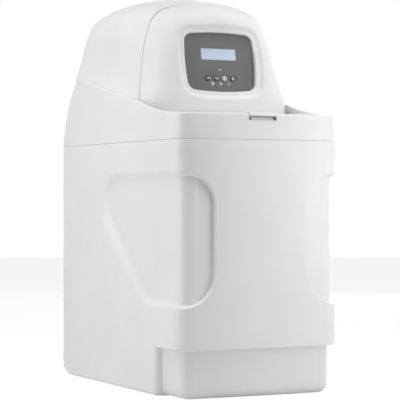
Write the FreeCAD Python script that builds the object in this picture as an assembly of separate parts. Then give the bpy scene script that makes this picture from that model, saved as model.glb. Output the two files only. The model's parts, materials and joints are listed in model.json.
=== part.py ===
import FreeCAD, Part
import math
import os

# Compact cabinet water softener. Millimetres, +Z up, front towards -Y,
# origin on the floor at the middle of the footprint.

V = FreeCAD.Vector
os.makedirs("parts", exist_ok=True)

# Cabinet
body_width = 270.0
body_depth = 480.0
seam_height = 379.0
cabinet_wall = 3.5
front_radius = 32.0
rear_radius = 28.0
rear_heel_radius = 62.0
toe_radius = 14.0
foot_inset = 12.0
foot_height = 71.5
foot_length = 69.0
recess_depth = 8.0
recess_drop = 51.0
recess_bottom = 135.0
recess_wrap = 53.0
recess_back = 197.0
recess_belly = 109.0
recess_top_run = 101.0
recess_top_bend = 55.0
recess_low_run = 90.0
recess_low_bend = 112.0
recess_low_end = 130.0
service_recess_inset = 35.0
service_recess_width = 50.0
service_recess_depth = 24.0
service_recess_height = 73.0
overflow_drop = 4.0

# Cover: skirt, deck and dome in one moulding
cover_wall = 3.0
lip_depth = 8.0
lip_clearance = 0.5
lip_wall = 2.5
band_height = 11.0
skirt_lean = [(0.0, 0.0), (6.0, 0.2), (41.0, 2.5), (69.0, 6.5), (101.0, 12.5), (121.0, 17.0)]
crease_from_front = [(22.0, 0.0), (57.0, 2.5), (92.0, 7.0), (128.0, 14.5), (169.0, 25.0), (203.0, 31.0)]
crease_from_back = [(198.0, 45.0), (49.0, 73.0), (0.0, 80.0)]
deck_rise = 28.0
deck_thickness = 3.0
rim_wall = 3.5

# Hood: arch section at the joint line, how it rises to the back, and its two ends
hood_foot_inset = 11.5
hood_shoulder_inset = 19.3
hood_arc_inset = 13.4
hood_crown_inset = 33.8
hood_waist_rise = 61.0
hood_shoulder_rise = 155.0
hood_arc_rise = 191.0
hood_crown_rise = 213.0
hood_top_rise = 221.0
hood_rise = 16.0
hood_depth = 53.0
joint_forward = 17.5
joint_bow = 8.0
joint_foot_rise = 64.0
joint_knee_rise = 126.0
joint_slant = 0.17
hood_corner = 55.0
hood_brow = 45.0
hood_chin = 20.0
hood_hinge_gap = 22.0
hood_face_rise = 124.0
hood_lean = 10.3
hood_rear_turn = 39.0
hood_rear_gap = 17.0
hood_screw_inset = 20.0
hood_screw_setback = 32.0
hood_screw_reach = 12.0
hood_boss_radius = 6.0
seam_gap = 0.4

# Display panel, in the plane of the leaning face
panel_side_gap = 42.0
panel_half_height = 49.0
panel_bulge = 4.0
panel_corner = 12.0
panel_thickness = 3.0
panel_sink = 7.3
panel_fit = 0.4
surround = 10.5
surround_depth = 5.0
seat_ledge = 5.0
seat_depth = 3.0
lcd_half_width = 30.0
lcd_half_height = 9.0
lcd_centre = 14.0
lens_thickness = 1.2
module_depth = 8.0
board_side_gap = 10.2
board_end_gap = 9.0
board_thickness = 1.6
board_back = 14.0
post_radius = 3.2
connector_length = 24.0
connector_width = 8.0
connector_height = 7.0
switch_size = 6.0
switch_height = 3.5
plunger_radius = 1.7
plunger_height = 1.0
key_flange = 1.6
key_stem = 2.0
key_rounding = 0.6
button_pitch = 14.0
button_line = -24.4
button_radius = 3.6
button_fit = 0.3
button_stand = 0.8
button_travel = 0.9
key_dish_half = 29.0
key_dish_rise = 6.2
key_dish_slope = 2.6
key_dish_depth = 1.2
lamp_line = -10.5
lamp_half_width = 1.75
lamp_half_height = 0.65
screw_radius = 1.5
screw_head = 2.8

# Salt lid
lid_side_gap = 10.5
lid_front_gap = 4.5
lid_thickness = 3.0
lid_rib = 2.5
lid_clearance = 0.3
lid_height = 7.0
lid_hinge_gap = 9.0
lid_pin_radius = 2.0
lid_pin_fit = 0.05
lid_knuckle = 3.6
knuckle_length = 20.0
knuckle_inset = 10.0
ear_thickness = 4.0
ear_gap = 0.4
tab_half_width = 23.0
tab_rise = 12.0
tab_thickness = 4.5
tab_gap = 0.7
scoop_depth = 11.0
scoop_height = 5.0
boss_drop = 16.0
opening_side_gap = 35.0
opening_front_gap = 19.0
opening_length = 88.0
opening_fit = 3.0
boss_margin = 7.0
tab_setback = 2.2

# Resin tank
tank_back_gap = 136.0
tank_radius = 101.5
tank_wall = 3.0
tank_bottom = 12.0
tank_shoulder_drop = 49.0
tank_neck_radius = 38.0
tank_neck_rise = 17.0
tank_rise = 45.0
ring_radius = 72.0
ring_wall = 12.0
ring_height = 26.0
floor_gap = 0.3
bed_drop = 80.0
riser_radius = 12.5
riser_wall = 2.0
riser_stand = 8.0
riser_seat = 12.0
snug = 0.02
basket_radius = 24.0
basket_height = 26.0
basket_wall = 2.5
basket_end = 3.0
basket_slots = 20
basket_slot = 1.6
basket_margin = 6.0
upper_basket_radius = 28.0
upper_basket_height = 24.0

# Control valve
valve_rise = 66.0
collar_radius = 46.0
collar_height = 44.0
barrel_radius = 30.0
bore_radius = 22.0
barrel_lead = 46.0
barrel_end = 5.0
bore_spare = 9.0
port_x = 38.0
port_drop = 35.0
port_radius = 17.0
port_bore = 12.0
port_length = 18.0
running_fit = 0.06
piston_radius = 11.0
piston_rod = 5.0
piston_lead = 20.0
piston_head_inset = 16.0
piston_head_length = 38.0
piston_travel = 24.0
seal_count = 5
seal_pitch = 15.0
seal_width = 9.0

# Drive
gear_module = 1.25
main_teeth = 60
idler_teeth = 36
pinion_teeth = 12
gear_width = 7.0
gear_gap = 18.0
bracket_thickness = 3.0
bracket_gap = 2.0
backlash = 0.5
idler_angle = 127.0
pinion_angle = 217.0
motor_radius = 13.0
motor_length = 30.0
axle_radius = 2.5
gear_hub = 12.0
web_holes = 5
web_hole = 6.0
web_ring = 23.0
idler_hub = 7.0
motor_shaft = 1.5
motor_boss = 4.0
motor_boss_height = 3.0
sleeve_radius = 14.0
pillar_radius = 4.0

# Bypass and pipe tails
bypass_length = 38.0
joint_gap = 0.3
tower_radius = 11.0
tower_height = 22.0
plug_radius = 8.0
plug_port = 6.5
knob_radius = 14.0
knob_height = 7.0
knob_bar = 6.0
tail_radius = 13.2
tail_bore = 9.5
tail_end_gap = 4.0
tail_flange = 16.4
tail_flange_width = 4.0
nut_radius = 20.0
nut_length = 15.0
nut_lip = 3.0
nut_grooves = 12
nut_groove = 1.4
bypass_core = 9.0
bypass_core_bore = 5.0
thread_depth = 0.6
tail_relief = 0.2
drain_x = -66.0
drain_drop = 20.0
drain_radius = 5.0
drain_barb = 6.5
drain_bore = 3.6
drain_elbow_radius = 8.0
drain_barbs = 4
barb_length = 4.0
injector_radius = 17.0
injector_reach = 16.0
injector_setback = 34.0
valve_flange = 8.0
flange_width = 6.0
flange_screw_angles = (20, 160, 250, 310)
flange_screw_ring = 4.5
drain_setback = 30.0
drain_stub = 9.0
brine_stub = 7.5
brine_spout = 5.5
brine_stub_setback = 17.0
turbine_radius = 10.5
turbine_length = 9.0
turbine_hub = 3.0
turbine_blades = 6
blade_thickness = 1.2
blade_twist = 18.0
meter_pin = 1.0
pipe_slot_half = 80.0
pipe_slot_rise = 105.0

# Brine side
well_side_gap = 53.0
well_tank_gap = 0.93
well_radius = 38.0
well_wall = 2.5
well_drop = 19.0
cap_thickness = 3.0
cap_skirt = 8.0
brine_valve_radius = 14.0
brine_valve_height = 40.0
rod_radius = 2.0
rod_spare = 5.0
rod_seat = 14.0
float_radius = 26.0
float_bottom = 200.0
float_height = 56.0
float_travel = 18.0
cage_radius = 20.0
cage_height = 58.0
cage_wall = 2.5
cage_top = 6.0
cage_foot = 3.0
ball_radius = 9.0
wall_slots = 8
wall_slot = 3.0
cross_tube = 5.0
pickup_radius = 4.0
pickup_offset = 28.5
pickup_socket = 6.0
brine_port_x = 60.0
brine_port_lead = 2.0
brine_port_drop = 12.0
hose_radius = 3.2
hose_stub = 6.0
hose_end_rise = 14.0
hose_run = 26.0
hose_fall = 10.0
hose_bend_rise = 70.0
hose_drop_rise = 34.0
platform_height = 62.0
platform_thickness = 3.0
platform_leg = 9.0
platform_clearance = 1.5
platform_tank_gap = 3.0
platform_pitch = 20.0
platform_cell = 12.0
platform_margin = 24.0
leg_side_gap = 39.0
leg_front_gap = 30.0
leg_tank_gap = 32.5
leg_well_gap = 62.0
spigot_radius = 6.5
spigot_barb = 7.6
spigot_bore = 5.0
spigot_flange = 13.0

# Power inlet on the back of the cover
inlet_side_gap = 37.0
inlet_rise = 61.0
inlet_radius = 5.5
inlet_bore = 3.0
inlet_length = 16.0

# Places: what each piece stands on, leans on or lines up with
front_y = -body_depth / 2
rear_y = body_depth / 2
side_x = body_width / 2
inside_floor = cabinet_wall
far = body_depth
recess_top = seam_height - recess_drop
recess_belly_z = seam_height - recess_belly
recess_front_x = side_x - recess_wrap
recess_back_y = rear_y - recess_back
service_recess_x = side_x - service_recess_inset
service_recess_bottom = seam_height - service_recess_height
deck_top = seam_height + deck_rise
deck_bottom = deck_top - deck_thickness
band_top = deck_top + band_height
opening_half_width = side_x - opening_side_gap
opening_front = front_y + opening_front_gap
opening_back = opening_front + opening_length
lid_half_width = side_x - lid_side_gap
lid_hinge_y = opening_back + lid_hinge_gap
lid_front_y = front_y + lid_front_gap + 2.0
lid_back_y = lid_hinge_y - lid_knuckle - ear_gap
knuckle_centre = opening_half_width - knuckle_inset
tab_top = deck_top + tab_rise
lean_slope = math.tan(math.radians(hood_lean))
hood_foot_half = side_x - hood_foot_inset
hood_shoulder_half = hood_foot_half - hood_shoulder_inset
hood_arc_half = hood_shoulder_half - hood_arc_inset
hood_crown_half = hood_arc_half - hood_crown_inset
hood_waist = seam_height + hood_waist_rise
hood_shoulder = seam_height + hood_shoulder_rise
hood_arc = seam_height + hood_arc_rise
hood_crown = seam_height + hood_crown_rise
hood_top = seam_height + hood_top_rise
hood_face_y = lid_hinge_y + hood_hinge_gap
hood_face_z = seam_height + hood_face_rise
hood_joint_y = hood_face_y + hood_depth
hood_rear_y = rear_y - hood_rear_gap
hood_rear_start = hood_rear_y - hood_rear_turn
joint_foot = seam_height + joint_foot_rise
joint_knee = seam_height + joint_knee_rise
panel_half_width = hood_shoulder_half - panel_side_gap
board_half_width = panel_half_width - board_side_gap
board_half_height = panel_half_height - board_end_gap
tank_y = rear_y - tank_back_gap
tank_shoulder = seam_height - tank_shoulder_drop
tank_neck_bottom = seam_height + tank_neck_rise
tank_top = seam_height + tank_rise
bed_top = tank_shoulder - bed_drop
valve_axis = tank_top + valve_rise
barrel_front = tank_y - barrel_lead
gear_y = barrel_front - gear_gap
piston_front = gear_y - piston_lead
piston_head_front = barrel_front + piston_head_inset
piston_head_back = piston_head_front + piston_head_length
barrel_back = piston_head_back + piston_travel + bore_spare + barrel_end
port_z = valve_axis - port_drop
tower_top = port_z + tower_height
tail_end = rear_y - tail_end_gap
drain_z = valve_axis - drain_drop
pipe_slot_top = seam_height + pipe_slot_rise
well_x = side_x - well_side_gap
well_y = tank_y - math.sqrt((tank_radius + well_radius + well_tank_gap) ** 2 - well_x ** 2)
well_top = seam_height - well_drop
hose_end_z = well_top + hose_end_rise
brine_port_y = barrel_front + brine_port_lead
brine_port_z = valve_axis - brine_port_drop
inlet_x = side_x - inlet_side_gap
inlet_z = seam_height + inlet_rise
overflow_wall = rear_y - service_recess_depth
overflow_z = (service_recess_bottom + seam_height) / 2 - overflow_drop
riser_bottom = tank_bottom + tank_wall + riser_stand
riser_top = tank_top + collar_height - riser_seat
idler_distance = gear_module * (main_teeth + idler_teeth) / 2
pinion_distance = gear_module * (pinion_teeth + idler_teeth) / 2
idler_x = idler_distance * math.cos(math.radians(idler_angle))
idler_z = valve_axis + idler_distance * math.sin(math.radians(idler_angle))
pinion_x = idler_x + pinion_distance * math.cos(math.radians(pinion_angle))
pinion_z = idler_z + pinion_distance * math.sin(math.radians(pinion_angle))
gear_back = gear_y + gear_width
bracket_front = gear_back + bracket_gap
bracket_back = bracket_front + bracket_thickness


def box(x0, x1, y0, y1, z0, z1):
    return Part.makeBox(x1 - x0, y1 - y0, z1 - z0, V(x0, y0, z0))


def rod(radius, start, end):
    direction = end - start
    return Part.makeCylinder(radius, direction.Length, start, direction)


def tube(outer, inner, start, end):
    return rod(outer, start, end).cut(rod(inner, start, end))


def mirrored(shape):
    return shape.mirror(V(0, 0, 0), V(1, 0, 0))


def both_sides(shape):
    return shape.fuse(mirrored(shape))


def arc(a, b, c):
    return Part.Arc(a, b, c).toShape()


def line(a, b):
    return Part.makeLine(a, b)


def face(edges):
    return Part.Face(Part.Wire(edges))


def polygon(points):
    return Part.Face(Part.makePolygon(points + points[:1]))


def save(name, shape):
    shape.exportStep("parts/" + name + ".step")


def plan_wire(inset, z):
    """Footprint outline, drawn in from the cabinet's sides by inset."""
    x = side_x - inset
    y0 = front_y + inset
    y1 = rear_y - inset
    rf = max(front_radius - inset, 4.0)
    rr = max(rear_radius - inset, 4.0)
    kf = rf * (1 - math.sqrt(0.5))
    kr = rr * (1 - math.sqrt(0.5))
    return Part.Wire([
        line(V(-x + rf, y0, z), V(x - rf, y0, z)),
        arc(V(x - rf, y0, z), V(x - kf, y0 + kf, z), V(x, y0 + rf, z)),
        line(V(x, y0 + rf, z), V(x, y1 - rr, z)),
        arc(V(x, y1 - rr, z), V(x - kr, y1 - kr, z), V(x - rr, y1, z)),
        line(V(x - rr, y1, z), V(-x + rr, y1, z)),
        arc(V(-x + rr, y1, z), V(-x + kr, y1 - kr, z), V(-x, y1 - rr, z)),
        line(V(-x, y1 - rr, z), V(-x, y0 + rf, z)),
        arc(V(-x, y0 + rf, z), V(-x + kf, y0 + kf, z), V(-x + rf, y0, z))])


def plan_prism(inset, z0, z1):
    return Part.Face(plan_wire(inset, z0)).extrude(V(0, 0, z1 - z0))


def side_recess_profile(grow):
    """Outline of the D-shaped recess seen from the side, on the plane x = 0."""
    y0 = front_y - 20
    top = recess_top + grow
    bottom = recess_bottom - grow
    back = recess_back_y + grow
    a = V(0, y0, top)
    b = V(0, recess_back_y - recess_top_run, top)
    c = V(0, back - 14, recess_top - 25 + grow * 0.7)
    d = V(0, back, recess_belly_z + 12)
    e = V(0, back - 12, recess_belly_z - 26)
    f = V(0, front_y + recess_low_end + grow, bottom + 16)
    g = V(0, front_y + recess_low_run, bottom)
    h = V(0, y0, bottom)
    return face([line(a, b), arc(b, V(0, recess_back_y - recess_top_bend, top - 7), c),
                 arc(c, V(0, back - 3.5, recess_top - 34), d),
                 arc(d, V(0, back - 2.5, recess_belly_z - 8), e), line(e, f),
                 arc(f, V(0, front_y + recess_low_bend + grow * 0.5, bottom + 4), g), line(g, h), line(h,
                                                                                                       a)])


def front_recess_profile(grow):
    """Outline of the recess seen from the front, on the plane y = 0, right side."""
    x = recess_front_x - grow
    top = recess_top + grow + 6
    bottom = recess_bottom - grow - 6
    a = V(side_x + 20, 0, top)
    b = V(x + 40, 0, top - 6)
    c = V(x, 0, recess_top - 31)
    d = V(x, 0, recess_bottom + 46)
    e = V(x + 36, 0, bottom + 8)
    f = V(side_x + 20, 0, bottom)
    return face([line(a, b), arc(b, V(x + 15, 0, recess_top - 12 + grow * 0.7), c), line(c, d),
                 arc(d, V(x + 13, 0, recess_bottom + 17 - grow * 0.7), e), line(e, f), line(f, a)])


def cabinet_form(inset):
    """The cabinet's solid form drawn in by inset: 0 is the outside, the wall is the cavity."""
    top = seam_height + (10 if inset else 0)
    form = plan_prism(inset, inset, top)
    band = plan_prism(inset - 1, inset - 1, foot_height + inset)
    band = band.cut(plan_prism(foot_inset + inset, -1, foot_height + inset + 1))
    foot_back = front_y + foot_length + inset
    form = form.cut(band.common(box(-far, far, -far, foot_back, -5, far)))
    band = plan_prism(inset - 1, recess_bottom - 20, recess_top + 20)
    band = band.cut(plan_prism(recess_depth + inset, recess_bottom - 21, recess_top + 21))
    side = side_recess_profile(inset)
    side.translate(V(-far, 0, 0))
    side = side.extrude(V(2 * far, 0, 0))
    front = front_recess_profile(inset)
    front.translate(V(0, -far, 0))
    front = both_sides(front.extrude(V(0, 2 * far, 0)))
    form = form.cut(band.common(side).common(front))
    heel = rear_heel_radius - inset
    toe = max(toe_radius - inset, 4.0)
    y0 = front_y + foot_inset + inset
    y1 = rear_y - inset
    k0 = toe * (1 - math.sqrt(0.5))
    k1 = heel * (1 - math.sqrt(0.5))
    profile = face([
        line(V(-far, y0 + toe, inset), V(-far, y1 - heel, inset)),
        arc(V(-far, y1 - heel, inset), V(-far, y1 - k1, inset + k1), V(-far, y1, inset + heel)),
        line(V(-far, y1, inset + heel), V(-far, y1 + 5, top)),
        line(V(-far, y1 + 5, top), V(-far, front_y - 5, top)),
        line(V(-far, front_y - 5, top), V(-far, front_y - 5, inset + toe)),
        line(V(-far, front_y - 5, inset + toe), V(-far, y0, inset + toe)),
        arc(V(-far, y0, inset + toe), V(-far, y0 + k0, inset + k0), V(-far, y0 + toe, inset))])
    form = form.common(profile.extrude(V(2 * far, 0, 0)))
    half = service_recess_width / 2 + inset
    pocket = box(-service_recess_x - half, -service_recess_x + half, rear_y - service_recess_depth - inset,
                 rear_y + 20, service_recess_bottom - inset, far)
    return form.cut(pocket)


def brine_cabinet():
    shell = cabinet_form(0).cut(cabinet_form(cabinet_wall))
    hole = rod(spigot_radius + 0.2, V(-service_recess_x, overflow_wall - 10, overflow_z),
               V(-service_recess_x, overflow_wall + 10, overflow_z))
    return shell.cut(hole)


def skirt(inset, z_low):
    """The cover's skirt, leaning in towards its top, drawn in by inset."""
    wires = [plan_wire(inset, z_low)] if z_low < seam_height else []
    wires += [plan_wire(inset + lean, seam_height + rise) for rise, lean in skirt_lean]
    return Part.makeLoft(wires, True, False)


def crease_block(drop):
    """Everything below the skirt's top edge, which runs up from the front to the back."""
    points = [V(-far, front_y + along, band_top + rise - drop) for along, rise in crease_from_front]
    points += [V(-far, rear_y - along, band_top + rise - drop) for along, rise in crease_from_back]
    curve = Part.BSplineCurve()
    curve.interpolate(points)
    start = V(-far, front_y - 40, points[0].z)
    end = V(-far, rear_y + 40, points[-1].z)
    low = seam_height - 60
    edges = [line(start, points[0]), curve.toShape(), line(points[-1], end),
             line(end, V(-far, end.y, low)), line(V(-far, end.y, low), V(-far, start.y, low)),
             line(V(-far, start.y, low), start)]
    return face(edges).extrude(V(2 * far, 0, 0))


def arch(y_of, rise, side_in, top_in, floor):
    """One closed arch section; y_of gives its place along the cabinet at each height."""
    foot = hood_foot_half - side_in
    shoulder = V(hood_shoulder_half - side_in, 0, hood_shoulder + rise - top_in * 0.5)
    middle = V(hood_arc_half - side_in * 0.93, 0, hood_arc + rise * 1.1 - top_in * 0.75)
    crown = V(hood_crown_half - side_in * 0.55, 0, hood_crown + rise - top_in * 0.97)
    points = [V(foot, 0, floor), V(foot, 0, hood_waist), shoulder, middle, crown,
              V(0, 0, hood_top + rise - top_in)]
    right = [V(p.x, y_of(p.z), p.z) for p in points]
    left = [V(-p.x, p.y, p.z) for p in right]
    return Part.Wire([
        line(right[0], right[1]), line(right[1], right[2]), arc(right[2], right[3], right[4]),
        arc(right[4], right[5], left[4]), arc(left[4], left[3], left[2]),
        line(left[2], left[1]), line(left[1], left[0]), line(left[0], right[0])])


def face_y(z):
    return hood_face_y + (z - hood_face_z) * lean_slope


def hood(inset, floor):
    """The hood's solid form, front to back, drawn in by inset."""
    steps = 5
    front = []
    for i in range(steps):
        turn = math.radians(90.0 * i / (steps - 1))
        ahead = math.sin(turn)
        share = 1 - math.cos(turn)
        front.append(arch(
            lambda z: hood_joint_y + (face_y(z) + inset - hood_joint_y) * ahead, 0,
            inset + hood_corner * share, inset + hood_brow * share, floor + hood_chin * share))
    middle = []
    for part_way in (0.0, 0.33, 0.67, 1.0):
        y = hood_joint_y + (hood_rear_start - hood_joint_y) * part_way
        rise = hood_rise * math.sin(math.radians(90.0 * part_way))
        middle.append(arch(lambda z: y, rise, inset, inset, floor))
    rear = []
    length = hood_rear_y - inset - hood_rear_start
    for i in range(steps):
        turn = math.radians(90.0 * i / (steps - 1))
        share = 1 - math.cos(turn)
        y = hood_rear_start + length * math.sin(turn)
        rear.append(arch(lambda z: y, hood_rise, inset + length * share, inset + length * share, floor))
    solid = Part.makeLoft(front, True, False)
    solid = solid.fuse(Part.makeLoft(middle, True, False))
    return solid.fuse(Part.makeLoft(rear, True, False))


def joint_block(shift):
    """Everything in front of the joint between the hood's front and the dome."""
    y = hood_joint_y + shift
    low = deck_bottom - 60
    foot = V(-far, y - joint_forward, joint_foot)
    knee = V(-far, y, joint_knee)
    top = V(-far, y + joint_slant * (far * 2 - joint_knee), far * 2)
    edges = [line(V(-far, y - joint_forward, low), foot),
             arc(foot, V(-far, y - joint_bow, (foot.z + knee.z) / 2), knee),
             line(knee, top),
             line(top, V(-far, front_y - 60, far * 2)),
             line(V(-far, front_y - 60, far * 2), V(-far, front_y - 60, low)),
             line(V(-far, front_y - 60, low), V(-far, y - joint_forward, low))]
    return face(edges).extrude(V(2 * far, 0, 0))


def upright(shape, x, along, out):
    """Put a shape drawn flat (x right, y up, z outwards) on the leaning face."""
    turned = shape.copy()
    turned.translate(V(x, along, out))
    turned.rotate(V(0, 0, 0), V(1, 0, 0), 90 - hood_lean)
    turned.translate(V(0, hood_face_y, hood_face_z))
    return turned


def panel_prism(grow, z0, z1):
    """The display panel's barrel outline as a flat prism."""
    w = panel_half_width - panel_bulge + grow
    h = panel_half_height - panel_bulge + grow
    bw = w + panel_bulge
    bh = h + panel_bulge
    outline = face([arc(V(-w, -h, z0), V(0, -bh, z0), V(w, -h, z0)),
                    arc(V(w, -h, z0), V(bw, 0, z0), V(w, h, z0)),
                    arc(V(w, h, z0), V(0, bh, z0), V(-w, h, z0)),
                    arc(V(-w, h, z0), V(-bw, 0, z0), V(-w, -h, z0))])
    prism = outline.extrude(V(0, 0, z1 - z0))
    corners = [e for e in prism.Edges if abs(e.Vertexes[0].Z - e.Vertexes[-1].Z) > 0.5]
    return prism.makeFillet(panel_corner + grow, corners)


def panel_pocket():
    """The soft surround: wide at the hood's surface, closing in on the panel."""
    low = panel_prism(panel_fit, -surround_depth, -surround_depth + 1)
    high = panel_prism(surround, 0, 1)
    bottom = [f for f in low.Faces if abs(f.CenterOfMass.z + surround_depth) < 0.01][0]
    top = [f for f in high.Faces if abs(f.CenterOfMass.z) < 0.01][0]
    loft = Part.makeLoft([bottom.OuterWire, top.OuterWire], True, True)
    return loft.fuse(panel_prism(surround, 0, 30))


def top_cover(hood_outer, hood_inner):
    outer = skirt(0, seam_height).common(crease_block(0)).fuse(hood_outer)
    outer = outer.cut(box(-far, far, -far, far, -far, seam_height))
    hollow = skirt(cover_wall, seam_height - 2).common(crease_block(cover_wall)).fuse(hood_inner)
    front = joint_block(0)
    under_deck = box(-far, far, -far, far, -far, deck_bottom)
    hollow = hollow.cut(front.cut(under_deck))
    tray = skirt(rim_wall, seam_height - 2)
    tray = tray.common(front).cut(box(-far, far, -far, far, -far, deck_top))
    above = front.cut(box(-far, far, -far, far, -far, band_top - 40)).cut(crease_block(0))
    cover = outer.cut(hollow).cut(tray).cut(above)
    boss = box(-tab_half_width - boss_margin, tab_half_width + boss_margin, front_y + 2.6,
               opening_front - 2,
               tab_top - tab_thickness - boss_drop, deck_top + lid_height - lid_thickness - lid_clearance)
    cover = cover.fuse(boss)
    half = tab_half_width + tab_gap
    scoop_top = tab_top - tab_thickness - tab_gap
    scoop = polygon([V(-half, front_y - 5, scoop_top - scoop_height), V(-half, front_y - 5, far),
                     V(-half, front_y + scoop_depth, far),
                     V(-half, front_y + scoop_depth, scoop_top - scoop_height)])
    cover = cover.cut(scoop.extrude(V(2 * half, 0, 0)))
    cover = cover.cut(box(-opening_half_width, opening_half_width, opening_front, opening_back,
                          seam_height - 20, band_top + 80))
    y = rear_y - 60
    cover = cover.cut(box(-pipe_slot_half, pipe_slot_half, y, rear_y + 20, seam_height - 30, pipe_slot_top))
    out = cabinet_wall + lip_clearance
    lip = plan_prism(out, seam_height - lip_depth, seam_height + 3)
    lip = lip.cut(plan_prism(out + lip_wall, seam_height - lip_depth - 1, seam_height + 4))
    web = plan_prism(cover_wall - 1, seam_height, seam_height + 3)
    web = web.cut(plan_prism(out + lip_wall, seam_height - 1, seam_height + 4))
    lip = lip.fuse(web)
    lip = lip.cut(box(-pipe_slot_half, pipe_slot_half, y, rear_y + 20, seam_height - 30, pipe_slot_top))
    left = -service_recess_x - service_recess_width / 2 - 10
    lip = lip.cut(box(left, -pipe_slot_half + 1, y, rear_y - 10, seam_height - 30, seam_height))
    ears = []
    z = deck_top + lid_height - lid_thickness
    for side in (-1, 1):
        for end in (-1, 1):
            near = knuckle_length / 2 + ear_gap
            x0 = side * knuckle_centre + (near if end > 0 else -near - ear_thickness)
            ear = rod(lid_knuckle, V(x0, lid_hinge_y, z), V(x0 + ear_thickness, lid_hinge_y, z))
            ear = ear.fuse(box(x0, x0 + ear_thickness, lid_hinge_y - lid_knuckle, lid_hinge_y + lid_knuckle,
                               deck_top - 1, z))
            ears.append(ear)
    cover = cover.fuse(lip).fuse(ears)
    for side in (-1, 1):
        x = side * knuckle_centre
        reach = knuckle_length / 2 + ear_gap + ear_thickness + 1
        cover = cover.cut(rod(lid_pin_radius + snug, V(x - reach, lid_hinge_y, z),
                              V(x + reach, lid_hinge_y, z)))
    for x, y, z0, z1 in hood_bosses():
        cover = cover.cut(rod(screw_radius, V(x, y, z0), V(x, y, z1)))
    jack = rod(inlet_radius, V(inlet_x, rear_y - 30, inlet_z), V(inlet_x, rear_y + 10, inlet_z))
    return cover.cut(jack)


def hood_bosses():
    """Screws that come up through the deck into the hood's front."""
    places = []
    for side in (-1, 1):
        places.append((side * (opening_half_width - hood_screw_inset), hood_joint_y - hood_screw_setback,
                       deck_bottom - 2, deck_top + hood_screw_reach))
    return places


def hood_front(hood_outer, hood_inner):
    shell = hood_outer.cut(hood_inner)
    pad = upright(panel_prism(surround + 4, -panel_sink - panel_thickness - seat_depth, 20), 0, 0, 0)
    shell = shell.fuse(pad.common(hood_outer))
    shell = shell.common(joint_block(-seam_gap))
    shell = shell.cut(upright(panel_pocket(), 0, 0, 0))
    seat = panel_prism(panel_fit, -panel_sink - panel_thickness, -surround_depth + 0.5)
    shell = shell.cut(upright(seat, 0, 0, 0))
    shell = shell.cut(upright(panel_prism(-seat_ledge, -40, 0), 0, 0, 0))
    for x, y, z0, z1 in hood_bosses():
        boss = rod(hood_boss_radius, V(x, y, deck_top + joint_gap), V(x, y, z1 + 2))
        shell = shell.fuse(boss).cut(rod(screw_radius, V(x, y, z0), V(x, y, z1)))
    return shell


def buttons():
    names = ["up_button", "down_button", "ok_button", "menu_button"]
    return [(name, (i - 1.5) * button_pitch) for i, name in enumerate(names)]


def round_ended(half, radius, z):
    """A round-ended outline about the middle of the row of keys."""
    run = half - radius
    low = button_line - radius
    high = button_line + radius
    return Part.Wire([line(V(-run, low, z), V(run, low, z)),
                      arc(V(run, low, z), V(half, button_line, z), V(run, high, z)),
                      line(V(run, high, z), V(-run, high, z)),
                      arc(V(-run, high, z), V(-half, button_line, z), V(-run, low, z))])


def key_dish():
    """The shallow dish with sloping sides that the row of keys stands in."""
    top = -panel_sink
    floor = round_ended(key_dish_half - key_dish_slope, key_dish_rise - key_dish_slope, top - key_dish_depth)
    rim = round_ended(key_dish_half, key_dish_rise, top)
    above = round_ended(key_dish_half, key_dish_rise, top + 1)
    return Part.makeLoft([floor, rim], True, True).fuse(Part.makeLoft([rim, above], True, True))


def display_panel():
    panel = panel_prism(0, -panel_sink - panel_thickness, -panel_sink)
    top = -panel_sink
    window = Part.makeBox(2 * lcd_half_width, 2 * lcd_half_height, 10,
                          V(-lcd_half_width, lcd_centre - lcd_half_height, top - 5))
    panel = panel.cut(window).cut(key_dish())
    for name, x in buttons():
        panel = panel.cut(Part.makeCylinder(button_radius + button_fit, 10, V(x, button_line, top - 5)))
    slot = Part.makeBox(2 * lamp_half_width, 2 * lamp_half_height, 10,
                        V(-lamp_half_width, lamp_line - lamp_half_height, top - 5))
    panel = panel.cut(slot)
    for x, y in panel_screw_places():
        post = Part.makeCylinder(post_radius, board_back - panel_thickness - 0.1,
                                 V(x, y, top - board_back + 0.1))
        panel = panel.fuse(post).cut(Part.makeCylinder(screw_radius, 12, V(x, y, top - board_back - 1)))
    return upright(panel, 0, 0, 0)


def panel_screw_places():
    return [(sx * (board_half_width - 7), sy * (board_half_height - 5)) for sx in (-1, 1) for sy in (-1, 1)]


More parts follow.
